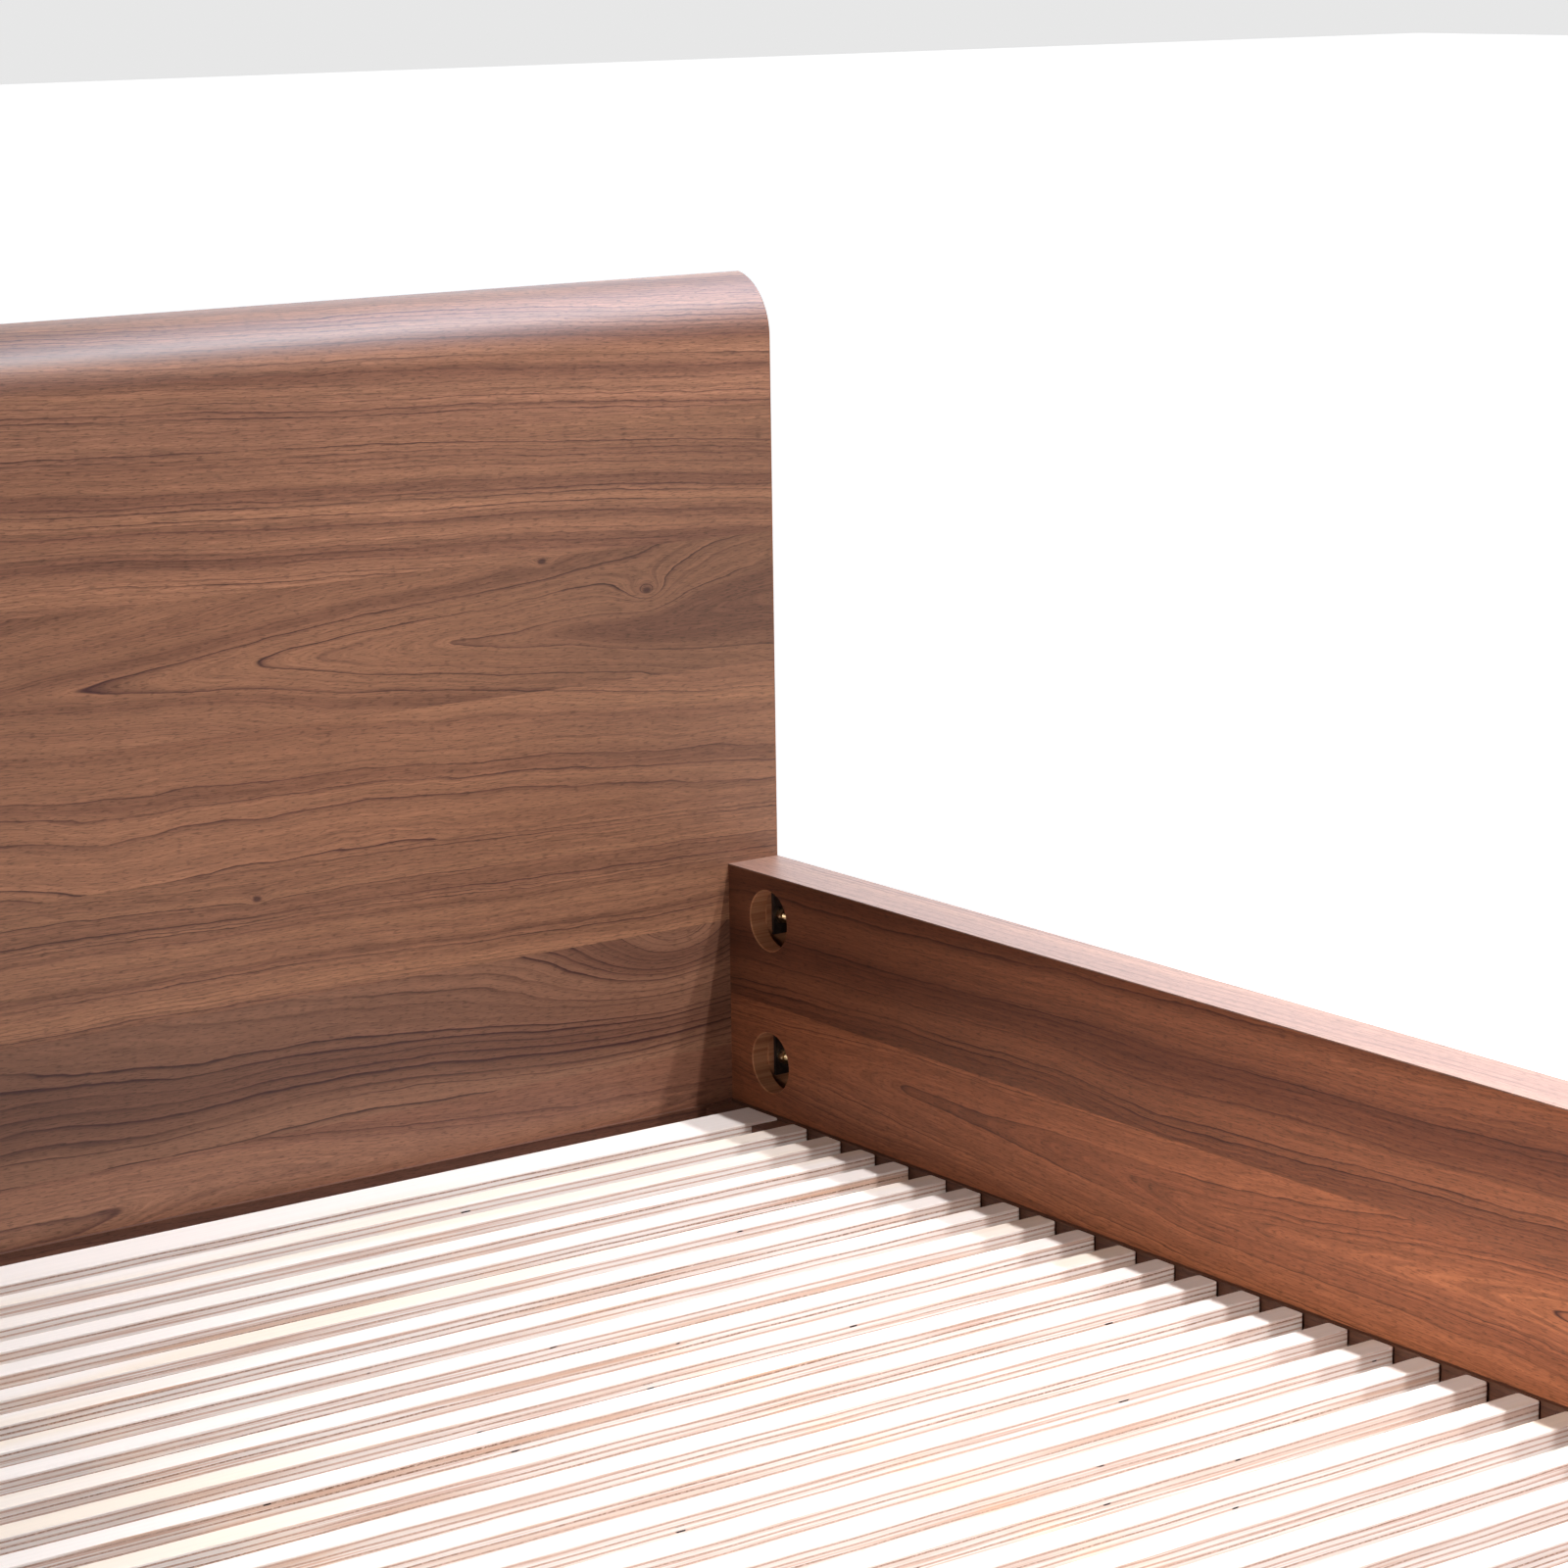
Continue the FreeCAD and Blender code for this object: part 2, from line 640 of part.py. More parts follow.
def make_legs():
    """Make the centre legs, their bolts and collets, and the levellers that screw into them."""
    bolts, collets = [], []
    up = (0, 0, 1)
    half = "leg_width / 2"
    stud_top = "pad_socket + stud_length"
    for end, place in leg_places().items():
        width = (f"-{half}", half)
        blank = block(width, (f"{place} - {half}", f"{place} + {half}"), (LEG_BOTTOM, BEAM_BOTTOM))
        foot = ("0", place, LEG_BOTTOM)
        bolt_base = ("0", place, f"{BEAM_BOTTOM} - leg_bolt_grip")
        well = rod("stud_radius + bolt_clearance", f"{stud_top} + retract_room - ({LEG_BOTTOM})", foot, up)
        socket = rod("collet_radius", "collet_length", foot, up)
        bolt_bore = rod("bolt_radius", "leg_bolt_grip", bolt_base, up)
        node(trimmed(blank, [well, socket, bolt_bore]), f"centre_leg_{end}")
        bolts.append(rod("bolt_radius", "2 * leg_bolt_grip", bolt_base, up))
        thread = rod("stud_radius + thread_gap", "collet_length", foot, up)
        collets.append(without(rod("collet_radius", "collet_length", foot, up), [thread]))
        pad = rod("pad_radius", "pad_height", ("0", place, "0"), up)
        seat = ("0", place, "pad_socket")
        dish = rod("stud_radius", "pad_height - pad_socket", seat, up)
        node(without(pad, [dish]), f"leveller_pad_{end}")
        collar = hexagon("collar_radius", "collar_height", ("0", place, "pad_height"), up)
        node(joined(rod("stud_radius", "stud_length", seat, up), collar), f"leveller_stud_{end}")
    node(together(bolts), "leg_bolts")
    node(together(collets), "leveller_collets")


def check_and_export():
    """Refuse any failed, empty or invalid piece, then write each node's file."""
    doc.recompute()
    for item in doc.Objects:
        if {"Invalid", "Error"} & set(item.State):
            raise RuntimeError(f"{item.Label} failed to build: {item.State}")
    for piece in nodes:
        if piece.Shape.isNull() or not piece.Shape.isValid() or not piece.Shape.Solids:
            raise RuntimeError(f"{piece.Label} has no valid solid")
    os.makedirs("parts", exist_ok=True)
    for piece in nodes:
        piece.Shape.exportStep(f"parts/{piece.Label}.step")
        print(f"{piece.Label}: {len(piece.Shape.Solids)} solid(s), {piece.Shape.Volume / 1000:.1f} cm3")


make_panel("head", 1, "headboard_height")
make_panel("foot", -1, "footboard_height")
for side_name, side_sign in RIGHT_LEFT.items():
    make_rail(side_name, side_sign)
make_rail_bolts()
make_ledgers()
make_corner_blocks()
make_slats()
make_beam()
make_legs()
check_and_export()
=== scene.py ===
"""Looks of a walnut sleigh bed: veneered panels and rails, plywood slats and their fittings.

Every piece is built in metres in the bed's own frame: the floor is at Z = 0, +Y points at the
headboard and +X at the right-hand rail seen from the foot.
"""

import logging
import math
from dataclasses import dataclass, field
from enum import Enum
from typing import Callable, Iterable, Optional, Sequence

import bmesh
import bpy
from mathutils import Matrix, Vector


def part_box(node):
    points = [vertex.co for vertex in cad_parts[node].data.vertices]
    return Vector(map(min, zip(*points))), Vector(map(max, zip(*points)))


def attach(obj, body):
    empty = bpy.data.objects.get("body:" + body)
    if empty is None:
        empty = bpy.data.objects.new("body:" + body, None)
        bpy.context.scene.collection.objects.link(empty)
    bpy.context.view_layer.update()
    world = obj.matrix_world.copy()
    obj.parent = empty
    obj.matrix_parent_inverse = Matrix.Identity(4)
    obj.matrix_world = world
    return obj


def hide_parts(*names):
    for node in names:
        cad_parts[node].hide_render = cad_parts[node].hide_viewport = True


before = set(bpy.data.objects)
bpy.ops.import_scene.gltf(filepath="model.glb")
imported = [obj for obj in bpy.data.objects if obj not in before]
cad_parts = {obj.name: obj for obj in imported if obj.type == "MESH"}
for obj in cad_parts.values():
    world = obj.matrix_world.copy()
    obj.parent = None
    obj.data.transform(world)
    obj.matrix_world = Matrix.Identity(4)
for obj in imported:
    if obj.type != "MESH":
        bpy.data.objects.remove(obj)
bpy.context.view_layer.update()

log = logging.getLogger("sleigh_bed")

Colour = tuple[float, float, float]
Point = tuple[float, float, float]
Socket = bpy.types.NodeSocket

MILLIMETRE = 0.001
GRAIN_MAP = "grain"
FRAME_BODY = "bed_frame"
NO_KNOT: Point = (-9.0, -9.0, 0.001)
RIGHT_LEFT = {"right": 1, "left": -1}
HEAD_FOOT = {"head": 1, "foot": -1}


class Axis(Enum):
    """A direction of the bed's frame, by its place in a coordinate."""

    ACROSS = 0
    LENGTHWISE = 1
    UP = 2


# --- Node graphs ------------------------------------------------------------------------------


class Graph:
    """Short spellings for the shader nodes that the finishes share."""

    def __init__(self, material: bpy.types.Material) -> None:
        """Empty a material's tree and give it one Principled shader.

        Args:
            material: the material whose nodes are built.
        """
        material.use_nodes = True
        self.nodes = material.node_tree.nodes
        self.links = material.node_tree.links
        self.nodes.clear()
        self.shader = self.nodes.new("ShaderNodeBsdfPrincipled")
        output = self.nodes.new("ShaderNodeOutputMaterial")
        self.links.new(self.shader.outputs["BSDF"], output.inputs["Surface"])

    def plug(self, socket: Socket, value: object) -> None:
        """Link a socket to another socket, or set it to a constant."""
        if isinstance(value, Socket):
            self.links.new(value, socket)
        elif isinstance(value, tuple) and len(value) == 3 and socket.type == "RGBA":
            socket.default_value = (*value, 1.0)
        else:
            socket.default_value = value

    def math(self, operation: str, *terms: object, clamp: bool = False) -> Socket:
        """Add a Math node.

        Args:
            operation: Blender's name of the operation.
            terms: sockets or numbers, in order.
            clamp: keep the result between 0 and 1.

        Returns:
            The result's socket.
        """
        node = self.nodes.new("ShaderNodeMath")
        node.operation = operation
        node.use_clamp = clamp
        for socket, term in zip(node.inputs, terms):
            self.plug(socket, term)
        return node.outputs[0]

    def vector(self, operation: str, *terms: object) -> Socket:
        """Add a Vector Math node and return its vector, with the scale as the last term of SCALE."""
        node = self.nodes.new("ShaderNodeVectorMath")
        node.operation = operation
        sockets = [node.inputs[0], node.inputs["Scale"]] if operation == "SCALE" else list(node.inputs)
        for socket, term in zip(sockets, terms):
            self.plug(socket, term)
        return node.outputs[0]

    def combine(self, x: object, y: object, z: object) -> Socket:
        """Make a vector of three numbers or sockets."""
        node = self.nodes.new("ShaderNodeCombineXYZ")
        for socket, term in zip(node.inputs, (x, y, z)):
            self.plug(socket, term)
        return node.outputs[0]

    def split(self, vector: Socket) -> tuple[Socket, Socket, Socket]:
        """Take a vector apart into X, Y and Z."""
        node = self.nodes.new("ShaderNodeSeparateXYZ")
        self.links.new(vector, node.inputs[0])
        return node.outputs[0], node.outputs[1], node.outputs[2]

    def attribute(self, name: str) -> Socket:
        """Read a vector attribute of the mesh."""
        node = self.nodes.new("ShaderNodeAttribute")
        node.attribute_name = name
        return node.outputs["Vector"]

    def grain_coordinates(self) -> Socket:
        """Read the piece's own grain map, in metres along and across the grain."""
        node = self.nodes.new("ShaderNodeUVMap")
        node.uv_map = GRAIN_MAP
        return node.outputs["UV"]

    def object_coordinates(self) -> Socket:
        """Read the place on the piece, in metres."""
        return self.nodes.new("ShaderNodeTexCoord").outputs["Object"]

    def noise(self, vector: Socket, scale: Point, detail: float = 2.0, roughness: float = 0.5) -> Socket:
        """Add stretched noise.

        Args:
            vector: the coordinates.
            scale: features per metre along each axis.
            detail: octaves.
            roughness: how strong the finer octaves are.

        Returns:
            The noise value's socket, about 0.5 on average.
        """
        node = self.nodes.new("ShaderNodeTexNoise")
        self.links.new(self.vector("MULTIPLY", vector, scale), node.inputs["Vector"])
        node.inputs["Scale"].default_value = 1.0
        node.inputs["Detail"].default_value = detail
        node.inputs["Roughness"].default_value = roughness
        return node.outputs["Fac"]

    def centred(self, value: Socket, reach: object) -> Socket:
        """Turn a 0 to 1 noise into one about zero, times a reach."""
        return self.math("MULTIPLY", self.math("SUBTRACT", value, 0.5), reach)

    def step(self, value: Socket, low: float, high: float) -> Socket:
        """Ramp smoothly from 0 at low to 1 at high."""
        node = self.nodes.new("ShaderNodeMapRange")
        node.interpolation_type = "SMOOTHSTEP"
        self.links.new(value, node.inputs["Value"])
        node.inputs["From Min"].default_value = low
        node.inputs["From Max"].default_value = high
        return node.outputs["Result"]

    def mix(self, factor: object, first: object, second: object) -> Socket:
        """Mix two colours by a factor."""
        node = self.nodes.new("ShaderNodeMix")
        node.data_type = "RGBA"
        colours = [socket for socket in node.inputs if socket.type == "RGBA"]
        self.plug(node.inputs["Factor"], factor)
        self.plug(colours[0], first)
        self.plug(colours[1], second)
        return next(socket for socket in node.outputs if socket.type == "RGBA")

    def random(self, value: Socket) -> Socket:
        """Give each whole number its own value between 0 and 1."""
        node = self.nodes.new("ShaderNodeTexWhiteNoise")
        node.noise_dimensions = "1D"
        self.links.new(value, node.inputs["W"])
        return node.outputs["Value"]

    def bump(self, height: Socket, distance: float, strength: float) -> None:
        """Raise the surface by a height socket."""
        node = self.nodes.new("ShaderNodeBump")
        node.inputs["Distance"].default_value = distance
        node.inputs["Strength"].default_value = strength
        self.links.new(height, node.inputs["Height"])
        self.links.new(node.outputs["Normal"], self.shader.inputs["Normal"])

    def colour(self, value: Socket) -> None:
        """Send a colour to the shader."""
        self.links.new(value, self.shader.inputs["Base Color"])

    def fixed(self, **values: float) -> None:
        """Set constant shader sockets, with underscores for spaces in their names."""
        for name, value in values.items():
            self.shader.inputs[name.replace("_", " ").title().replace("Ior", "IOR")].default_value = value


# --- Finishes ---------------------------------------------------------------------------------


@dataclass(frozen=True)
class VeneerLeaf:
    """One leaf of veneer and the way its growth rings lie in it.

    The rings are nested long ovals about a heart line. A heart far outside the leaf gives straight
    grain, and one inside it gives cathedrals that close at the apex.
    """

    seed: float = 1.0
    tone: float = 0.0
    warmth: float = 0.5
    heart: float = -0.30
    apex: float = 0.0
    taper: float = 0.03
    rings: float = 130.0
    wander: float = 1.0
    lean: float = 0.0
    # Painted shade: how much the leaf darkens between 0.30 m and 0.85 m along its grain, standing in for light falling
    # off.
    painted_shade: float = 0.0
    contrast: float = 1.0
    streaks: float = 1.0
    knots: tuple[Point, ...] = ()

    def store(self) -> dict[str, Point]:
        """Return the leaf's values as the vector attributes that the walnut finish reads.

        Returns:
            Name and value of each attribute. A knot is its place along and across the grain and
            its radius.
        """
        first, second = (*self.knots, NO_KNOT, NO_KNOT)[:2]
        return {
            "leaf_figure": (self.heart, self.apex, self.taper),
            "leaf_look": (self.tone, self.warmth, self.seed),
            "leaf_cut": (self.rings, self.wander, self.lean),
            "leaf_depth": (self.painted_shade, self.contrast, self.streaks),
            "leaf_knot_a": first,
            "leaf_knot_b": second,
        }


@dataclass(frozen=True)
class WalnutFinish:
    """Lacquered walnut whose rings, fibres and pores follow each leaf's own grain map."""

    name: str
    pale: Colour = (0.390, 0.192, 0.119)
    deep: Colour = (0.205, 0.090, 0.057)
    amber: Colour = (0.410, 0.190, 0.088)
    line: Colour = (0.070, 0.023, 0.021)
    roughness: float = 0.50
    gloss: float = 0.18
    lacquer: float = 0.65

    def warped(self, g: Graph, place: Socket, wander: Socket) -> Socket:
        """Sum the slow and quick sideways wander of the rings."""
        sway = g.centred(g.noise(place, (1.7, 6.0, 1.0), 1.0), g.math("MULTIPLY", wander, 0.060))
        ripple = g.centred(g.noise(place, (8.0, 26.0, 1.0), 2.0), g.math("MULTIPLY", wander, 0.013))
        tremble = g.centred(g.noise(place, (45.0, 150.0, 1.0), 2.0), 0.0026)
        return g.math("ADD", sway, g.math("ADD", ripple, tremble))

    def knot(self, g: Graph, grain: Socket, name: str) -> tuple[Socket, Socket]:
        """Measure one pin knot.

        Args:
            g: the graph.
            grain: the grain map.
            name: the knot's attribute.

        Returns:
            How far the rings bulge around it, and the darkness of its core.
        """
        knot_along, knot_across, radius = g.split(g.attribute(name))
        along, across, _ = g.split(grain)
        run = g.math("MULTIPLY", g.math("SUBTRACT", along, knot_along), 0.6)
        rise = g.math("SUBTRACT", across, knot_across)
        away = g.math("SQRT", g.math("ADD", g.math("MULTIPLY", run, run), g.math("MULTIPLY", rise, rise)))
        reach = g.math("DIVIDE", away, radius)
        bulge = g.math("MULTIPLY", g.math("DIVIDE", radius, g.math("ADD", reach, 1.0)), 5.0)
        return bulge, g.math("SUBTRACT", 1.0, g.step(away, 0.0012, 0.0032))

    def build(self) -> bpy.types.Material:
        """Make the material.

        Returns:
            The walnut material.
        """
        material = bpy.data.materials.new(self.name)
        g = Graph(material)
        heart, apex, taper = g.split(g.attribute("leaf_figure"))
        tone, warmth, seed = g.split(g.attribute("leaf_look"))
        rings, wander, lean = g.split(g.attribute("leaf_cut"))
        painted_shade, contrast, streaks = g.split(g.attribute("leaf_depth"))
        grain = g.grain_coordinates()
        shift = g.combine(g.math("MULTIPLY", seed, 3.7), g.math("MULTIPLY", seed, 11.3), seed)
        place = g.vector("ADD", grain, shift)
        along, across, _ = g.split(grain)
        bulge_a, core_a = self.knot(g, grain, "leaf_knot_a")
        bulge_b, core_b = self.knot(g, grain, "leaf_knot_b")

        leaned = g.math("MULTIPLY_ADD", along, lean, g.math("SUBTRACT", across, heart))
        bulged = g.math("ADD", g.math("ADD", leaned, self.warped(g, place, wander)), g.math("ADD", bulge_a, bulge_b))
        swell = g.centred(g.noise(place, (3.0, 1.5, 1.0), 1.0), g.math("MULTIPLY", wander, 0.045))
        depth = g.math("ADD", g.math("ABSOLUTE", swell), 0.004)
        bowl = g.math("SQRT", g.math("MULTIPLY_ADD", bulged, bulged, g.math("MULTIPLY", depth, depth)))
        radius = g.math("MULTIPLY_ADD", g.math("SUBTRACT", along, apex), taper, bowl)

        count = g.math("MULTIPLY", radius, rings)
        years = g.combine(g.math("MULTIPLY_ADD", count, 0.21, seed), seed, 0.0)
        ring = g.math("MULTIPLY_ADD", g.noise(years, (1.0, 1.0, 1.0), 2.0), 3.2, count)
        season = g.math("FRACT", ring)
        vigour = g.random(g.math("MULTIPLY_ADD", seed, 17.0, g.math("FLOOR", ring)))
        closing = g.math("SUBTRACT", 1.0, g.step(season, 0.91, 1.0))
        late = g.math("MULTIPLY", g.math("POWER", season, 7.0), closing)
        drawn = g.math("MULTIPLY_ADD", g.math("POWER", vigour, 2.0), 1.80, 0.12)
        fading = g.step(g.noise(place, (6.0, 34.0, 1.0), 1.0), 0.30, 0.62)
        line = g.math("MULTIPLY", g.math("MULTIPLY", late, drawn), g.math("MULTIPLY_ADD", fading, 0.75, 0.35))
        shade = g.math("MULTIPLY", g.math("POWER", season, 1.3), g.math("MULTIPLY", vigour, 0.22))
        drawing = g.math("MULTIPLY", g.math("ADD", line, shade), contrast, clamp=True)

        decades = g.combine(g.math("MULTIPLY", ring, 0.17), g.math("MULTIPLY", seed, 5.0), 0.0)
        band = g.step(g.noise(decades, (1.0, 1.0, 1.0), 1.0), 0.32, 0.68)
        cloud = g.centred(g.noise(place, (3.0, 9.0, 1.0), 2.0), 0.8)
        ground = g.mix(g.math("ADD", band, cloud, clamp=True), self.deep, self.pale)
        amber_part = g.math("MULTIPLY", warmth, g.math("MULTIPLY_ADD", band, 0.5, 0.35), clamp=True)
        ground = g.mix(amber_part, ground, self.amber)
        wood = g.mix(drawing, ground, self.line)
        wood = g.mix(g.math("MULTIPLY", g.math("MAXIMUM", core_a, core_b), 0.85), wood, self.line)

        flow = g.combine(along, radius, seed)
        streak = g.noise(flow, (2.6, 210.0, 1.0), 4.0, 0.74)
        fibre = g.noise(flow, (34.0, 760.0, 1.0), 3.0, 0.72)
        pore = g.step(g.noise(place, (130.0, 950.0, 1.0), 1.0), 0.56, 0.66)
        flame = g.noise(place, (38.0, 260.0, 1.0), 2.0)
        spread = g.math("MULTIPLY_ADD", g.math("SUBTRACT", streak, 0.5), 0.90,
                        g.math("MULTIPLY", g.math("SUBTRACT", fibre, 0.5), 1.25))
        light = g.math("MULTIPLY_ADD", spread, streaks, 1.0)
        light = g.math("MULTIPLY", light, g.math("MULTIPLY_ADD", g.math("SUBTRACT", flame, 0.5), 0.20, 1.0))
        light = g.math("MULTIPLY", light, g.math("MULTIPLY_ADD", pore, -0.34, 1.0))
        # Painted shade: the leaf darkens between 0.30 m and 0.85 m along its grain. That is the right-hand end of the
        # headboard and the head end of each rail.
        painted_shade_ramp = g.math("MULTIPLY", g.step(along, 0.30, 0.85), painted_shade)
        light = g.math("MULTIPLY", light, g.math("ADD", painted_shade_ramp, g.math("ADD", tone, 1.0)))
        g.colour(g.vector("SCALE", wood, light))
        g.bump(g.math("SUBTRACT", fibre, g.math("MULTIPLY", pore, 0.8)), 0.00015, 0.35)
        g.fixed(roughness=self.roughness, specular_ior_level=self.gloss, coat_weight=self.lacquer,
                coat_roughness=0.42)
        return material


@dataclass(frozen=True)
class PlyFinish:
    """Sanded birch plywood: pale faces, and edges of alternating plies with dark glue lines."""

    name: str
    top: float
    face: Colour = (0.88, 0.84, 0.83)
    face_warm: Colour = (0.86, 0.78, 0.70)
    pink: Colour = (0.68, 0.49, 0.42)
    stain: Colour = (0.60, 0.33, 0.19)
    cross_ply: Colour = (0.20, 0.095, 0.045)
    sheet: float = 3.9 * MILLIMETRE

    def build(self) -> bpy.types.Material:
        """Make the material.

        Returns:
            The plywood material, which reads the slats' edge mask and seed attributes.
        """
        material = bpy.data.materials.new(self.name)
        g = Graph(material)
        place = g.object_coordinates()
        edge, _, _ = g.split(g.attribute("ply_edge"))
        seed, _, _ = g.split(g.attribute("slat_seed"))
        shifted = g.vector("ADD", place, g.combine(g.math("MULTIPLY", seed, 9.0), 0.0, g.math("MULTIPLY", seed, 5.0)))
        _, _, height = g.split(place)
        waver = g.centred(g.noise(shifted, (9.0, 0.0, 40.0), 2.0), 0.0024)
        depth = g.math("DIVIDE", g.math("ADD", g.math("SUBTRACT", self.top, height), waver), self.sheet)
        layer = g.math("FLOOR", g.math("ADD", depth, 0.3))
        within = g.math("FRACT", depth)
        crosswise = g.math("MULTIPLY", g.step(within, 0.40, 0.46), g.math("SUBTRACT", 1.0, g.step(within, 0.70, 0.80)))
        chance = g.random(g.math("MULTIPLY_ADD", seed, 31.0, layer))
        layered = g.vector("ADD", shifted, g.combine(g.math("MULTIPLY", layer, 3.1), 0.0, 0.0))

        rough = g.noise(layered, (430.0, 430.0, 900.0), 3.0, 0.75)
        torn = g.step(g.noise(layered, (6.0, 6.0, 0.0), 2.0), 0.38, 0.62)
        cover = g.math("MULTIPLY", g.step(rough, 0.34, 0.58), g.math("MULTIPLY_ADD", torn, 0.65, 0.35))
        cover = g.math("MULTIPLY", cover, g.math("MULTIPLY_ADD", g.math("POWER", chance, 1.5), 0.80, 0.20))
        cross = g.mix(cover, self.pink, self.cross_ply)
        streak = g.noise(layered, (8.0, 8.0, 1100.0), 3.0)
        patchy = g.step(g.noise(layered, (3.5, 3.5, 0.0), 1.0), 0.40, 0.62)
        long_grain = g.mix(g.math("MULTIPLY", g.step(streak, 0.42, 0.68), g.math("MULTIPLY_ADD", patchy, 0.6, 0.4)),
                           self.face, self.pink)
        stained = g.math("MULTIPLY", g.step(g.noise(layered, (4.5, 4.5, 120.0), 1.0), 0.52, 0.70), chance)
        long_grain = g.mix(g.math("MULTIPLY", stained, 0.7), long_grain, self.stain)
        plies = g.mix(crosswise, long_grain, cross)
        void = g.step(g.noise(layered, (38.0, 38.0, 60.0), 1.0), 0.745, 0.765)
        void = g.math("MULTIPLY", void, crosswise)
        plies = g.mix(void, plies, (0.012, 0.006, 0.004))

        stripe = g.noise(shifted, (3.0, 260.0, 1.0), 3.0, 0.6)
        patch = g.math("MULTIPLY_ADD", g.math("SUBTRACT", seed, 0.5), 0.30, g.noise(shifted, (2.2, 25.0, 1.0), 1.0))
        face = g.mix(g.step(patch, 0.42, 0.72), self.face, self.face_warm)
        face = g.vector("SCALE", face, g.math("MULTIPLY_ADD", g.math("SUBTRACT", stripe, 0.5), 0.16, 1.0))
        g.colour(g.mix(edge, face, plies))
        relief = g.math("MULTIPLY", edge, g.math("SUBTRACT", g.math("MULTIPLY", rough, 0.6), void))
        g.bump(g.math("MULTIPLY_ADD", stripe, 0.2, relief), 0.0004, 0.6)
        g.fixed(roughness=0.65, specular_ior_level=0.2)
        return material


@dataclass(frozen=True)
class TimberFinish:
    """Plain sawn or planed pale timber with lines along one axis."""

    name: str
    light: Colour
    dark: Colour
    along: Axis
    lines: float = 260.0
    roughness: float = 0.7

    def build(self) -> bpy.types.Material:
        """Make the material and return it."""
        material = bpy.data.materials.new(self.name)
        g = Graph(material)
        place = g.object_coordinates()
        scale = [self.lines] * 3
        scale[self.along.value] = self.lines / 45.0
        broad = tuple(value / 9.0 for value in scale)
        stripe = g.noise(place, tuple(scale), 3.0, 0.6)
        patch = g.noise(place, broad, 2.0)
        body = g.mix(g.step(g.math("ADD", g.math("MULTIPLY", stripe, 0.6), g.math("MULTIPLY", patch, 0.4)), 0.34, 0.66),
                     self.light, self.dark)
        g.colour(body)
        g.bump(stripe, 0.0003, 0.5)
        g.fixed(roughness=self.roughness, specular_ior_level=0.1)
        return material


@dataclass(frozen=True)
class MetalFinish:
    """Plated or blackened steel or brass with faint brushing and handling marks."""

    name: str
    colour: Colour
    worn: Colour
    metallic: float = 1.0
    roughness: float = 0.28

    def build(self) -> bpy.types.Material:
        """Make the material and return it."""
        material = bpy.data.materials.new(self.name)
        g = Graph(material)
        place = g.object_coordinates()
        haze = g.noise(place, (160.0, 160.0, 160.0), 3.0, 0.6)
        g.colour(g.mix(g.step(haze, 0.42, 0.72), self.colour, self.worn))
        scratch = g.noise(place, (900.0, 900.0, 2600.0), 2.0)
        g.links.new(g.math("MULTIPLY_ADD", g.math("ADD", haze, scratch), 0.14, self.roughness - 0.12),
                    g.shader.inputs["Roughness"])
        g.bump(scratch, 0.00004, 0.4)
        g.fixed(metallic=self.metallic)
        return material


@dataclass(frozen=True)
class MouldedFinish:
    """Matt moulded plastic with a fine spark-eroded grain."""

    name: str
    colour: Colour
    scuffed: Colour

    def build(self) -> bpy.types.Material:
        """Make the material and return it."""
        material = bpy.data.materials.new(self.name)
        g = Graph(material)
        place = g.object_coordinates()
        scuff = g.noise(place, (70.0, 70.0, 220.0), 4.0, 0.65)
        g.colour(g.mix(g.step(scuff, 0.50, 0.75), self.colour, self.scuffed))
        g.bump(g.noise(place, (1800.0, 1800.0, 1800.0), 2.0), 0.0001, 0.5)
        g.fixed(roughness=0.55)
        return material


@dataclass(frozen=True)
class StudioFinish:
    """Matt paint of the studio floor, lit from within so that the set stays white behind the bed."""

    name: str
    colour: Colour
    glow: float = 0.95

    def build(self) -> bpy.types.Material:
        """Make the material and return it."""
        material = bpy.data.materials.new(self.name)
        g = Graph(material)
        g.colour(g.mix(g.noise(g.object_coordinates(), (0.6, 0.6, 0.6), 2.0), self.colour,
                       tuple(value * 0.985 for value in self.colour)))
        path = g.nodes.new("ShaderNodeLightPath")
        g.links.new(g.math("MULTIPLY", path.outputs["Is Camera Ray"], self.glow),
                    g.shader.inputs["Emission Strength"])
        g.shader.inputs["Emission Color"].default_value = (1.0, 1.0, 1.0, 1.0)
        g.fixed(roughness=0.85, specular_ior_level=0.2)
        return material


# --- Meshes -----------------------------------------------------------------------------------


def place_piece(piece: bpy.types.Object, nodes: Sequence[str], body: str = FRAME_BODY) -> bpy.types.Object:
    """Put a finished piece on its body, in place of the CAD nodes that it stands for.

    Args:
        piece: the finished object.
        nodes: the CAD nodes that it replaces.
        body: the CAD body that it rides on.

    Returns:
        The piece.
    """
    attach(piece, body)
    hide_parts(*nodes)
    log.info("%s stands for %s with %d faces", piece.name, ", ".join(nodes), len(piece.data.polygons))
    return piece


def new_object(name: str, mesh: bpy.types.Mesh, materials: Iterable[bpy.types.Material]) -> bpy.types.Object:
    """Link a mesh to the scene as an object with its materials."""
    piece = bpy.data.objects.new(name, mesh)
    bpy.context.scene.collection.objects.link(piece)
    for material in materials:
        mesh.materials.append(material)
    return piece


def mesh_from(draft: bmesh.types.BMesh, name: str) -> bpy.types.Mesh:
    """Point a draft's faces outwards and turn it into a mesh."""
    bmesh.ops.recalc_face_normals(draft, faces=draft.faces)
    mesh = bpy.data.meshes.new(name)
    draft.to_mesh(mesh)
    draft.free()
    return mesh


def evaluated_mesh(piece: bpy.types.Object) -> bpy.types.Mesh:
    """Bake a piece's modifiers into a new mesh."""
    graph = bpy.context.evaluated_depsgraph_get()
    graph.update()
    return bpy.data.meshes.new_from_object(piece.evaluated_get(graph))


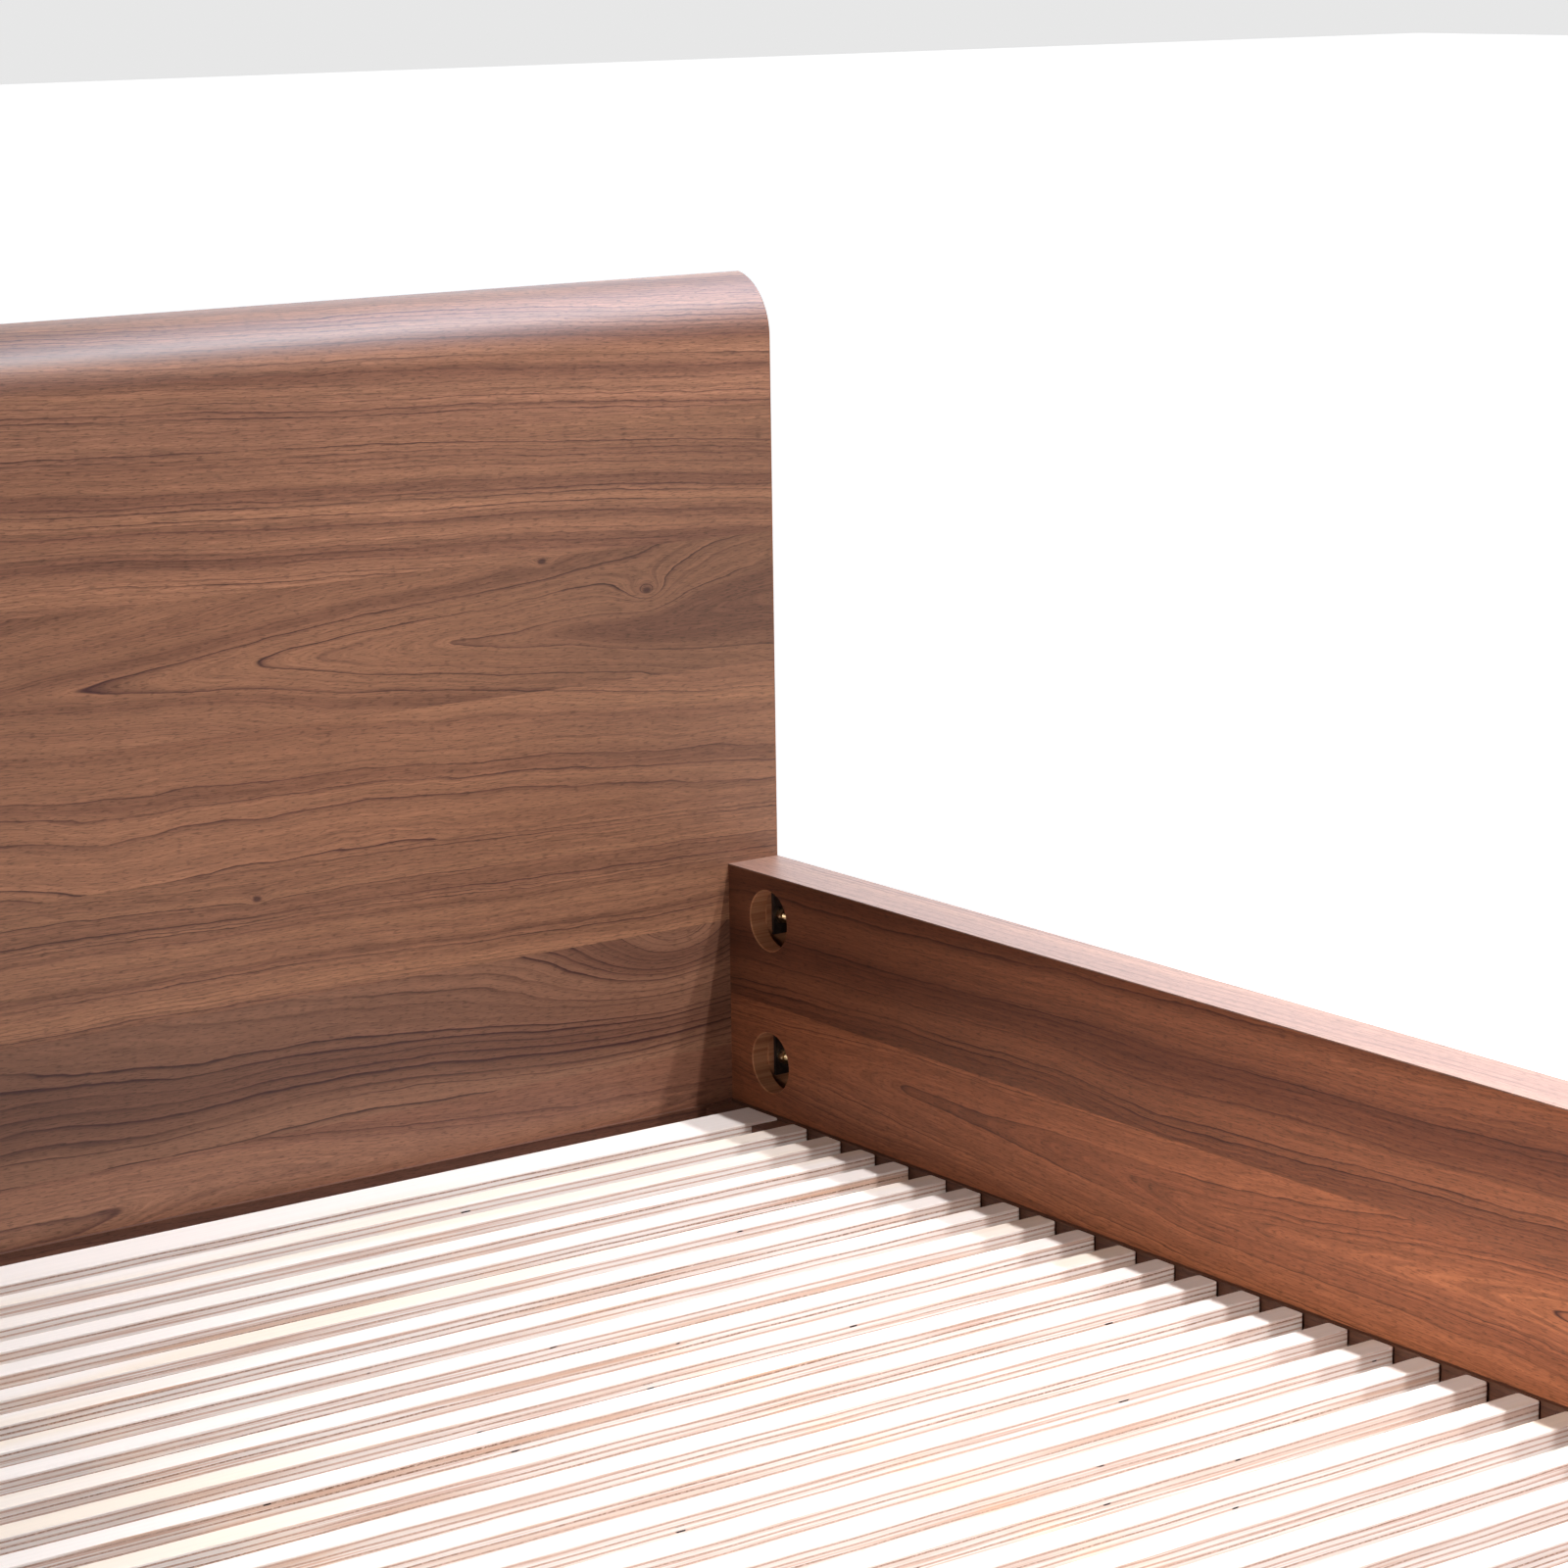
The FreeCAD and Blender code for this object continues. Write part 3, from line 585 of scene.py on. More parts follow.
def box_draft(low: Vector, high: Vector, ease: float) -> bmesh.types.BMesh:
    """Make a block with eased arrises.

    Args:
        low: lowest corner.
        high: highest corner.
        ease: width of the easing.

    Returns:
        The draft of the block.
    """
    draft = bmesh.new()
    size = high - low
    place = Matrix.Translation((low + high) / 2) @ Matrix.Diagonal((*size, 1.0))
    bmesh.ops.create_cube(draft, size=1.0, matrix=place)
    if ease > 0:
        bmesh.ops.bevel(draft, geom=list(draft.edges), offset=ease, segments=2, profile=0.6, affect="EDGES")
    return draft


def eased_copy(node: str, ease: float, segments: int = 2) -> bmesh.types.BMesh:
    """Copy a CAD node, join its loose triangles into flat faces and ease its sharp edges.

    Args:
        node: the CAD node.
        ease: width of the easing.
        segments: steps across each easing.

    Returns:
        The draft of the copy.
    """
    draft = bmesh.new()
    draft.from_mesh(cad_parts[node].data)
    bmesh.ops.remove_doubles(draft, verts=draft.verts, dist=1e-6)
    flat = math.radians(1.0)
    bmesh.ops.dissolve_limit(draft, angle_limit=flat, verts=draft.verts, edges=draft.edges)
    sharp = [edge for edge in draft.edges if edge.is_manifold and edge.calc_face_angle(0.0) > math.radians(40)]
    if ease > 0:
        bmesh.ops.bevel(draft, geom=sharp, offset=ease, segments=segments, profile=0.6, affect="EDGES",
                        clamp_overlap=True)
    return draft


def solid_boxes(node: str) -> list[tuple[Vector, Vector]]:
    """Find the boxes of a CAD node's separate solids.

    Args:
        node: the CAD node.

    Returns:
        The lowest and highest corner of each solid.
    """
    draft = bmesh.new()
    draft.from_mesh(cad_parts[node].data)
    bmesh.ops.remove_doubles(draft, verts=draft.verts, dist=1e-6)
    waiting = set(draft.verts)
    boxes = []
    while waiting:
        island, edge = [], [waiting.pop()]
        while edge:
            vert = edge.pop()
            island.append(vert.co.copy())
            for link in vert.link_edges:
                other = link.other_vert(vert)
                if other in waiting:
                    waiting.discard(other)
                    edge.append(other)
        boxes.append((Vector([min(co[i] for co in island) for i in range(3)]),
                      Vector([max(co[i] for co in island) for i in range(3)])))
    draft.free()
    return boxes


def map_grain(mesh: bpy.types.Mesh, along: Axis, leaf_of: Callable[[Vector, Vector], VeneerLeaf]) -> None:
    """Give a flat-sided piece its grain map and leaf attributes.

    Args:
        mesh: the mesh to map.
        along: the axis that the grain follows.
        leaf_of: picks the leaf of a face from its centre and its normal.
    """
    layer = mesh.uv_layers.new(name=GRAIN_MAP)
    others = [axis.value for axis in Axis if axis is not along]
    leaves = []
    for face in mesh.polygons:
        leaves.append(leaf_of(face.center, face.normal).store())
        turned = [abs(face.normal[index]) for index in others]
        across = others[0] if turned[0] < turned[1] else others[1]
        for corner in face.loop_indices:
            co = mesh.vertices[mesh.loops[corner].vertex_index].co
            layer.data[corner].uv = (co[along.value], co[across])
    store_leaves(mesh, leaves)


def store_leaves(mesh: bpy.types.Mesh, leaves: Sequence[dict[str, Point]]) -> None:
    """Write each face's leaf values to the mesh as vector attributes."""
    for name in VeneerLeaf().store():
        attribute = mesh.attributes.new(name, "FLOAT_VECTOR", "FACE")
        attribute.data.foreach_set("vector", [number for leaf in leaves for number in leaf[name]])


def cut_level(mesh_draft: bmesh.types.BMesh, levels: Iterable[float]) -> None:
    """Split a draft's faces along horizontal seams."""
    for level in levels:
        geometry = [*mesh_draft.verts, *mesh_draft.edges, *mesh_draft.faces]
        bmesh.ops.bisect_plane(mesh_draft, geom=geometry, plane_co=(0, 0, level), plane_no=(0, 0, 1), dist=1e-7)


def turned_mesh(name: str, rings: Sequence[tuple[float, Callable[[float], float]]], steps: int,
                bore: float = 0.0) -> bpy.types.Mesh:
    """Make a closed turned part about +Z from rings.

    Args:
        name: the mesh's name.
        rings: height and radius-by-angle of each ring, from the bottom up.
        steps: points around.
        bore: radius of a through hole, or 0 for a solid part.

    Returns:
        The mesh.
    """
    draft = bmesh.new()
    angles = [2 * math.pi * step / steps for step in range(steps)]
    stack = [(height, radius) for height, radius in rings]
    if bore > 0:
        stack = [(rings[0][0], lambda _: bore), *stack, (rings[-1][0], lambda _: bore)]
    loops = [[draft.verts.new((radius(a) * math.cos(a), radius(a) * math.sin(a), height)) for a in angles]
             for height, radius in stack]
    pairs = list(zip(loops, loops[1:]))
    if bore > 0:
        pairs.append((loops[-1], loops[0]))
    for lower, upper in pairs:
        for here in range(steps):
            following = (here + 1) % steps
            draft.faces.new((lower[here], lower[following], upper[following], upper[here]))
    if bore <= 0:
        draft.faces.new(loops[0])
        draft.faces.new(loops[-1])
    return mesh_from(draft, name)


def round_section(radius: float) -> Callable[[float], float]:
    """Return the radius-by-angle of a circle."""
    return lambda _: radius


def hex_section(corner: float, limit: float) -> Callable[[float], float]:
    """Return the radius-by-angle of a hexagon cut off by a circle.

    Args:
        corner: distance from the centre to a corner.
        limit: radius of the circle that chamfers it.
    """
    sixth = math.pi / 3

    def radius(angle: float) -> float:
        """Distance to the hexagon's side at an angle."""
        return min(corner * math.cos(sixth / 2) / math.cos((angle % sixth) - sixth / 2), limit)

    return radius


def threaded_rings(bottom: float, top: float, radius: float, pitch: float) -> list[tuple[float, Callable[[float], float]]]:
    """Return rings of a rod whose surface carries a helical thread between two heights."""
    rows = max(2, round((top - bottom) / pitch * 4))

    def section(height: float) -> Callable[[float], float]:
        """Radius-by-angle at a height: the flanks rise and fall once per turn."""
        def at(angle: float) -> float:
            phase = (height / pitch - angle / (2 * math.pi)) % 1.0
            return radius - 0.61 * pitch * abs(2 * phase - 1) * 0.9
        return at

    heights = [bottom + (top - bottom) * row / rows for row in range(rows + 1)]
    return [(height, section(height)) for height in heights]


# --- Geometry Nodes ---------------------------------------------------------------------------


class Repeater:
    """A Geometry Nodes tree that repeats a template and turns the copies into one plain mesh."""

    def __init__(self, name: str, sockets: Sequence[tuple[str, str]]) -> None:
        """Start a tree with named inputs.

        Args:
            name: the tree's name.
            sockets: name and socket type of each input after the geometry.
        """
        self.tree = bpy.data.node_groups.new(name, "GeometryNodeTree")
        self.identifiers: dict[str, str] = {}
        self.tree.interface.new_socket("Geometry", in_out="INPUT", socket_type="NodeSocketGeometry")
        for label, kind in sockets:
            made = self.tree.interface.new_socket(label, in_out="INPUT", socket_type=kind)
            self.identifiers[label] = made.identifier
        self.tree.interface.new_socket("Geometry", in_out="OUTPUT", socket_type="NodeSocketGeometry")
        self.source = self.tree.nodes.new("NodeGroupInput")
        self.sink = self.tree.nodes.new("NodeGroupOutput")

    def add(self, kind: str, inputs: Optional[dict[str, object]] = None, **settings: object) -> bpy.types.Node:
        """Add a node, set its properties, then link or set its inputs.

        Args:
            kind: the node's type.
            inputs: input name to socket or constant.
            settings: properties of the node itself.

        Returns:
            The node.
        """
        node = self.tree.nodes.new(kind)
        for name, value in settings.items():
            setattr(node, name, value)
        for name, value in (inputs or {}).items():
            socket = next(item for item in node.inputs if item.name == name and item.enabled)
            if isinstance(value, Socket):
                self.tree.links.new(value, socket)
            else:
                socket.default_value = value
        return node

    def given(self, label: str) -> Socket:
        """Read one of the tree's inputs."""
        return self.source.outputs[label]

    def close(self, instances: Socket) -> None:
        """End the tree by realizing the copies and giving them their material."""
        real = self.add("GeometryNodeRealizeInstances", {"Geometry": instances})
        dressed = self.add("GeometryNodeSetMaterial", {"Geometry": real.outputs[0], "Material": self.given("Material")})
        self.tree.links.new(dressed.outputs[0], self.sink.inputs[0])

    def run(self, name: str, base: bpy.types.Mesh, values: dict[str, object]) -> bpy.types.Object:
        """Run the tree on a base mesh.

        Args:
            name: the new object's name.
            base: the mesh that the modifier starts from.
            values: a value for each of the tree's inputs.

        Returns:
            An object with the result as a plain mesh.
        """
        carrier = new_object(name + "_base", base, [])
        modifier = carrier.modifiers.new("Repeat", "NODES")
        modifier.node_group = self.tree
        for label, value in values.items():
            modifier[self.identifiers[label]] = value
        mesh = evaluated_mesh(carrier)
        mesh.name = name
        bpy.data.objects.remove(carrier)
        return new_object(name, mesh, [])


def row_repeater() -> Repeater:
    """Build the tree that sets copies out in an even row, each with its own seed and a slight shift."""
    tree = Repeater("Even row", (
        ("Template", "NodeSocketObject"), ("Count", "NodeSocketInt"), ("Start", "NodeSocketVector"),
        ("Step", "NodeSocketVector"), ("Shift", "NodeSocketVector"), ("Turn", "NodeSocketVector"),
        ("Seed", "NodeSocketInt"),
        ("Material", "NodeSocketMaterial")))
    line = tree.add("GeometryNodeMeshLine", {
        "Count": tree.given("Count"), "Start Location": tree.given("Start"), "Offset": tree.given("Step")},
        mode="OFFSET", count_mode="TOTAL")
    template = tree.add("GeometryNodeObjectInfo", {"Object": tree.given("Template")}, transform_space="ORIGINAL")
    placed = tree.add("GeometryNodeInstanceOnPoints", {
        "Points": line.outputs[0], "Instance": template.outputs["Geometry"]})
    back = tree.add("ShaderNodeVectorMath", {"Vector": tree.given("Shift")}, operation="SCALE")
    back.inputs["Scale"].default_value = -1.0
    nudge = tree.add("FunctionNodeRandomValue", {
        "Min": back.outputs[0], "Max": tree.given("Shift"), "Seed": tree.given("Seed")}, data_type="FLOAT_VECTOR")
    nudge_value = next(item for item in nudge.outputs if item.enabled)
    moved = tree.add("GeometryNodeTranslateInstances", {
        "Instances": placed.outputs[0], "Translation": nudge_value, "Local Space": False})
    unturned = tree.add("ShaderNodeVectorMath", {"Vector": tree.given("Turn")}, operation="SCALE")
    unturned.inputs["Scale"].default_value = -1.0
    swing = tree.add("FunctionNodeRandomValue", {
        "Min": unturned.outputs[0], "Max": tree.given("Turn"), "Seed": tree.given("Seed")}, data_type="FLOAT_VECTOR")
    swing_value = next(item for item in swing.outputs if item.enabled)
    turned = tree.add("GeometryNodeRotateInstances", {
        "Instances": moved.outputs[0], "Rotation": swing_value, "Local Space": True})
    chance = tree.add("FunctionNodeRandomValue", {"Seed": tree.given("Seed")}, data_type="FLOAT")
    chance_value = next(item for item in chance.outputs if item.enabled)
    marked = tree.add("GeometryNodeStoreNamedAttribute", {
        "Geometry": turned.outputs[0], "Name": "slat_seed", "Value": chance_value},
        data_type="FLOAT", domain="INSTANCE")
    tree.close(marked.outputs[0])
    return tree


def point_repeater() -> Repeater:
    """Build the tree that puts a fitting on each point, turned along the point's aim and spun at random."""
    tree = Repeater("Fittings on points", (
        ("Template", "NodeSocketObject"), ("Seed", "NodeSocketInt"), ("Material", "NodeSocketMaterial")))
    template = tree.add("GeometryNodeObjectInfo", {"Object": tree.given("Template")}, transform_space="ORIGINAL")
    aim = tree.add("GeometryNodeInputNamedAttribute", {"Name": "aim"}, data_type="FLOAT_VECTOR")
    aim_value = next(item for item in aim.outputs if item.enabled and item.type == "VECTOR")
    turned = tree.add("FunctionNodeAlignRotationToVector", {"Vector": aim_value}, axis="Z")
    angle = tree.add("FunctionNodeRandomValue", {"Min": 0.0, "Max": math.tau, "Seed": tree.given("Seed")},
                     data_type="FLOAT")
    angle_value = next(item for item in angle.outputs if item.enabled)
    spin = tree.add("FunctionNodeAxisAngleToRotation", {"Axis": (0.0, 0.0, 1.0), "Angle": angle_value})
    spun = tree.add("FunctionNodeRotateRotation", {
        "Rotation": turned.outputs[0], "Rotate By": spin.outputs[0]}, rotation_space="LOCAL")
    placed = tree.add("GeometryNodeInstanceOnPoints", {
        "Points": tree.given("Geometry"), "Instance": template.outputs["Geometry"], "Rotation": spun.outputs[0]})
    tree.close(placed.outputs[0])
    return tree


# --- Sub-assemblies ---------------------------------------------------------------------------


@dataclass
class RolledPanel:
    """The headboard or the footboard: a bent panel laid up from veneer leaves, with edge bands."""

    end: str
    finish: bpy.types.Material
    band_finish: bpy.types.Material
    front: Sequence[VeneerLeaf]
    back: Sequence[VeneerLeaf]
    leaf_width: float = 106 * MILLIMETRE
    first_seam: float = 55 * MILLIMETRE
    roll_radius: float = 52 * MILLIMETRE
    roll_angle: float = math.radians(80)
    ease: float = 0.8 * MILLIMETRE
    roll_steps: int = 40

    def __post_init__(self) -> None:
        """Read the panel's place and size from the frame."""
        low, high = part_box(f"{self.end}board_panel")
        self.sign = HEAD_FOOT[self.end]
        self.low, self.high = low, high
        self.face = min(abs(low.y), abs(high.y))
        self.thickness = abs(frame_skin_gap(self.end))
        self.straight = high.z - self.roll_radius * math.sin(self.roll_angle)

    def outer_path(self) -> list[tuple[float, float, float]]:
        """Return stations up the sleeper's side: outward offset, height and length along the face."""
        stations = [(0.0, self.low.z, self.low.z)]
        seams = [self.first_seam + self.leaf_width * step for step in range(len(self.front))]
        stations += [(0.0, seam, seam) for seam in seams if self.low.z < seam < self.straight]
        stations.append((0.0, self.straight, self.straight))
        trim = self.ease / self.roll_radius
        for step in range(1, self.roll_steps + 1):
            turn = (self.roll_angle - trim) * step / self.roll_steps
            stations.append((self.roll_radius * (1 - math.cos(turn)),
                             self.straight + self.roll_radius * math.sin(turn),
                             self.straight + self.roll_radius * turn))
        return stations

    def inner_path(self) -> list[tuple[float, float, float]]:
        """Return stations up the hidden side, in the same terms."""
        radius = self.roll_radius - self.thickness
        stations = [(self.thickness, self.low.z, self.low.z)]
        seams = [self.first_seam + self.leaf_width * step for step in range(len(self.back))]
        stations += [(self.thickness, seam, seam) for seam in seams if self.low.z < seam < self.straight]
        stations.append((self.thickness, self.straight, self.straight))
        trim = self.ease / radius
        for step in range(1, self.roll_steps + 1):
            turn = (self.roll_angle - trim) * step / self.roll_steps
            stations.append((self.roll_radius - radius * math.cos(turn),
                             self.straight + radius * math.sin(turn),
                             self.straight + radius * turn))
        return stations

    def end_corners(self) -> list[tuple[float, float, float]]:
        """Return the two eased corners of the roll's cut end."""
        turn = self.roll_angle
        corners = []
        for radius in (self.roll_radius - self.ease, self.roll_radius - self.thickness + self.ease):
            length = self.straight + self.roll_radius * turn
            corners.append((self.roll_radius - radius * math.cos(turn), self.straight + radius * math.sin(turn),
                            length + self.roll_radius - radius))
        return corners

    def outline(self) -> list[tuple[float, float, float, int]]:
        """Return the closed section, each station with 0 for the front, 1 for the end and 2 for the back."""
        front = [(*station, 0) for station in self.outer_path()]
        cut = [(*station, 1) for station in self.end_corners()]
        back = [(*station, 2) for station in reversed(self.inner_path())]
        return front + cut + back

    def leaf_at(self, length: float, side: int) -> VeneerLeaf:
        """Pick the leaf that covers a length along the front or the back."""
        leaves = self.back if side == 2 else self.front
        place = math.floor((length - self.first_seam) / self.leaf_width) + 1
        return leaves[max(0, min(place, len(leaves) - 1))]

    def build_panel(self) -> bpy.types.Object:
        """Sweep the section across the bed and lay the leaves on it."""
        outline = self.outline()
        draft = bmesh.new()
        grain = draft.loops.layers.uv.new(GRAIN_MAP)
        side_of = draft.faces.layers.int.new("outline_side")
        length_of = draft.faces.layers.float.new("outline_length")
        rows = []
        for across in (self.low.x, self.high.x):
            rows.append([draft.verts.new((across, self.sign * (self.face + out), up)) for out, up, _, _ in outline])
        count = len(outline)
        for here in range(count):
            following = (here + 1) % count
            face = draft.faces.new((rows[0][here], rows[0][following], rows[1][following], rows[1][here]))
            start, stop = outline[here], outline[following]
            length_stop = stop[2] if following else start[2] + self.thickness
            for loop, across, length in zip(face.loops, (self.low.x, self.low.x, self.high.x, self.high.x),
                                            (start[2], length_stop, length_stop, start[2])):
                loop[grain].uv = (across, length)
            face[side_of] = max(start[3], stop[3]) if start[3] != stop[3] else start[3]
            face[length_of] = (start[2] + length_stop) / 2
        for row in rows:
            cap = draft.faces.new(row)
            for loop in cap.loops:
                loop[grain].uv = (loop.vert.co.z, loop.vert.co.y)
        mesh = mesh_from(draft, f"{self.end}board_panel_veneered")
        sides = [item.value for item in mesh.attributes["outline_side"].data]
        lengths = [item.value for item in mesh.attributes["outline_length"].data]
        store_leaves(mesh, [self.leaf_at(length, side).store() for length, side in zip(lengths, sides)])
        self.smooth_roll(mesh)
        piece = new_object(mesh.name, mesh, [self.finish])
        return place_piece(piece, [f"{self.end}board_panel"])

    def smooth_roll(self, mesh: bpy.types.Mesh) -> None:
        """Shade the roll smoothly and keep every real edge crisp."""
        mesh.shade_smooth()
        mesh.set_sharp_from_angle(angle=math.radians(20))

    def build_band(self, side: str) -> bpy.types.Object:
        """Make the edge band on one side, with an eased outer arris."""
        low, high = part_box(f"{self.end}board_edge_band_{side}")
        draft = bmesh.new()
        ring = [draft.verts.new((low.x, self.sign * (self.face + out), up)) for out, up, _, _ in self.outline()]
        cap = draft.faces.new(ring)
        swept = bmesh.ops.extrude_face_region(draft, geom=[cap])
        moved = [item for item in swept["geom"] if isinstance(item, bmesh.types.BMVert)]
        bmesh.ops.translate(draft, verts=moved, vec=(high.x - low.x, 0, 0))
        outer = high.x if RIGHT_LEFT[side] > 0 else low.x
        rim = [edge for edge in draft.edges if all(abs(vert.co.x - outer) < 1e-7 for vert in edge.verts)]
        bmesh.ops.bevel(draft, geom=rim, offset=0.45 * MILLIMETRE, segments=2, profile=0.6, affect="EDGES")
        mesh = mesh_from(draft, f"{self.end}board_edge_band_{side}_veneer")
        leaf = VeneerLeaf(seed=4.0 + RIGHT_LEFT[side], warmth=0.75, tone=-0.12, taper=0.01, rings=240, wander=0.3)
        map_grain(mesh, Axis.UP, lambda centre, normal: leaf)
        piece = new_object(mesh.name, mesh, [self.band_finish])
        return place_piece(piece, [f"{self.end}board_edge_band_{side}"])


def frame_skin_gap(end: str) -> float:
    """Measure an end panel's thickness: the depth of its straight foot in the frame."""
    heights = [vert.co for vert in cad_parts[f"{end}board_panel"].data.vertices]
    foot = min(co.z for co in heights)
    depths = [co.y for co in heights if co.z - foot < 1e-4]
    return max(depths) - min(depths)


@dataclass
class HollowRail:
    """One side rail: veneered skins with access holes, top and bottom bands and an open core."""

    side: str
    finish: bpy.types.Material
    # On the rails the band finish is paler than the skins' walnut, partly as painted reflection.
    band_finish: bpy.types.Material
    core_finish: bpy.types.Material
    inner_leaves: Sequence[VeneerLeaf]
    outer_leaves: Sequence[VeneerLeaf]
    seams: Sequence[float] = (204 * MILLIMETRE, 311 * MILLIMETRE)
    hole_radius: float = 25 * MILLIMETRE
    hole_inset: float = 55 * MILLIMETRE
    hole_drop: float = 38.5 * MILLIMETRE
    hole_spacing: float = 119.5 * MILLIMETRE
    rim_chamfer: float = 0.7 * MILLIMETRE
    ease: float = 0.3 * MILLIMETRE

    def __post_init__(self) -> None:
        """Read the rail's place from the frame."""
        self.sign = RIGHT_LEFT[self.side]
        self.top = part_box(f"{self.side}_rail_top_band")[1].z

    def leaf_for(self, leaves: Sequence[VeneerLeaf], centre: Vector) -> VeneerLeaf:
        """Pick the leaf at a face's height."""
        return leaves[sum(centre.z > seam for seam in self.seams)]

    def hole_cutter(self, centre: Vector, depth: float) -> bpy.types.Object:
        """Make the cutter of one access hole, flared at its mouth on the sleeper's side."""
        radius, flare = self.hole_radius, self.rim_chamfer
        wide = round_section(radius + 2 * flare)
        rings = [(-flare, wide), (flare, round_section(radius)), (depth + flare, round_section(radius))]
        mesh = turned_mesh("hole_cutter", rings, 96)
        aim = Vector((self.sign, 0, 0)).to_track_quat("Z", "Y").to_matrix().to_4x4()
        mesh.transform(Matrix.Translation(centre) @ aim)
        return new_object("hole_cutter", mesh, [])

    def build_inner_skin(self) -> bpy.types.Object:
        """Make the sleeper's side skin with its four access holes."""
        node = f"{self.side}_rail_inner_skin"
        low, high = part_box(node)
        blank = new_object(node + "_blank", mesh_from(box_draft(low, high, self.ease), node), [])
        inner_x = low.x if self.sign > 0 else high.x
        cutters = []
        for end_sign in HEAD_FOOT.values():
            for step in range(2):
                height = self.top - self.hole_drop - step * self.hole_spacing
                middle = Vector((inner_x, end_sign * (high.y - self.hole_inset), height))
                cutters.append(self.hole_cutter(middle, high.x - low.x))
        for cutter in cutters:
            cut = blank.modifiers.new("Hole", "BOOLEAN")
            cut.object = cutter
            cut.solver = "EXACT"
        drilled = evaluated_mesh(blank)
        for helper in (blank, *cutters):
            bpy.data.objects.remove(helper)
        draft = bmesh.new()
        draft.from_mesh(drilled)
        cut_level(draft, self.seams)
        mesh = mesh_from(draft, node + "_veneered")
        map_grain(mesh, Axis.LENGTHWISE, lambda centre, normal: self.leaf_for(self.inner_leaves, centre))
        for face in mesh.polygons:
            inside = low.x + 1e-4 < face.center.x < high.x - 1e-4
            on_rim = low.z + 0.01 < face.center.z < high.z - 0.01 and abs(face.center.y) < high.y - 0.01
            face.material_index = 1 if inside and on_rim else 0
        mesh.shade_smooth()
        mesh.set_sharp_from_angle(angle=math.radians(25))
        piece = new_object(mesh.name, mesh, [self.finish, self.core_finish])
        return place_piece(piece, [node])

    def build_outer_skin(self) -> bpy.types.Object:
        """Make the skin on the room's side."""
        node = f"{self.side}_rail_outer_skin"
        draft = box_draft(*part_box(node), self.ease)
        cut_level(draft, self.seams)
        mesh = mesh_from(draft, node + "_veneered")
        map_grain(mesh, Axis.LENGTHWISE, lambda centre, normal: self.leaf_for(self.outer_leaves, centre))
        piece = new_object(mesh.name, mesh, [self.finish])
        return place_piece(piece, [node])

    def build_band(self, level: str, leaf: VeneerLeaf) -> bpy.types.Object:
        """Make the thin band that closes the rail's top or bottom.

        Args:
            level: "top" or "bottom".
            leaf: the band's veneer leaf.

        Returns:
            The band.
        """
        node = f"{self.side}_rail_{level}_band"
        mesh = mesh_from(box_draft(*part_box(node), self.ease), node + "_veneer")
        # Painted shade: the band's upright faces take a leaf toned much darker than its top face, whose paler colour is
        # partly painted reflection.
        edge = VeneerLeaf(seed=9.0, tone=-0.55, warmth=0.6, rings=300, wander=0.2)
        map_grain(mesh, Axis.LENGTHWISE, lambda centre, normal: leaf if abs(normal.z) > 0.35 else edge)
        piece = new_object(mesh.name, mesh, [self.band_finish])
        return place_piece(piece, [node])

    def build_core(self) -> None:
        """Dress the core strips, end blocks and ribs as sawn timber with eased edges."""
        names = [f"{self.side}_rail_{part}" for part in (
            "top_strip", "bottom_strip", "end_block_head", "end_block_foot", "core_ribs")]
        for node in names:
            mesh = mesh_from(eased_copy(node, 0.3 * MILLIMETRE), node + "_sawn")
            piece = new_object(mesh.name, mesh, [self.core_finish])
            place_piece(piece, [node])


@dataclass
class Ledgers:
    """The rabbeted walnut ledgers and the corner blocks on them."""

    finish: bpy.types.Material
    ease: float = 0.6 * MILLIMETRE
    side_leaf: VeneerLeaf = VeneerLeaf(seed=21, tone=-0.58, warmth=0.55, rings=170, wander=0.7)
    end_leaf: VeneerLeaf = VeneerLeaf(seed=23, tone=-0.30, warmth=0.40, rings=170, wander=0.7)

    def build(self) -> None:
        """Make each ledger and each pair of corner blocks."""
        plans = [(f"side_ledger_{side}", Axis.LENGTHWISE, self.side_leaf) for side in RIGHT_LEFT]
        plans += [(f"{end}_ledger", Axis.ACROSS, self.end_leaf) for end in HEAD_FOOT]
        plans += [(f"{end}_corner_blocks", Axis.ACROSS, self.end_leaf) for end in HEAD_FOOT]
        for node, along, leaf in plans:
            mesh = mesh_from(eased_copy(node, self.ease), node + "_walnut")
            map_grain(mesh, along, lambda centre, normal, leaf=leaf: leaf)
            piece = new_object(mesh.name, mesh, [self.finish])
            place_piece(piece, [node])


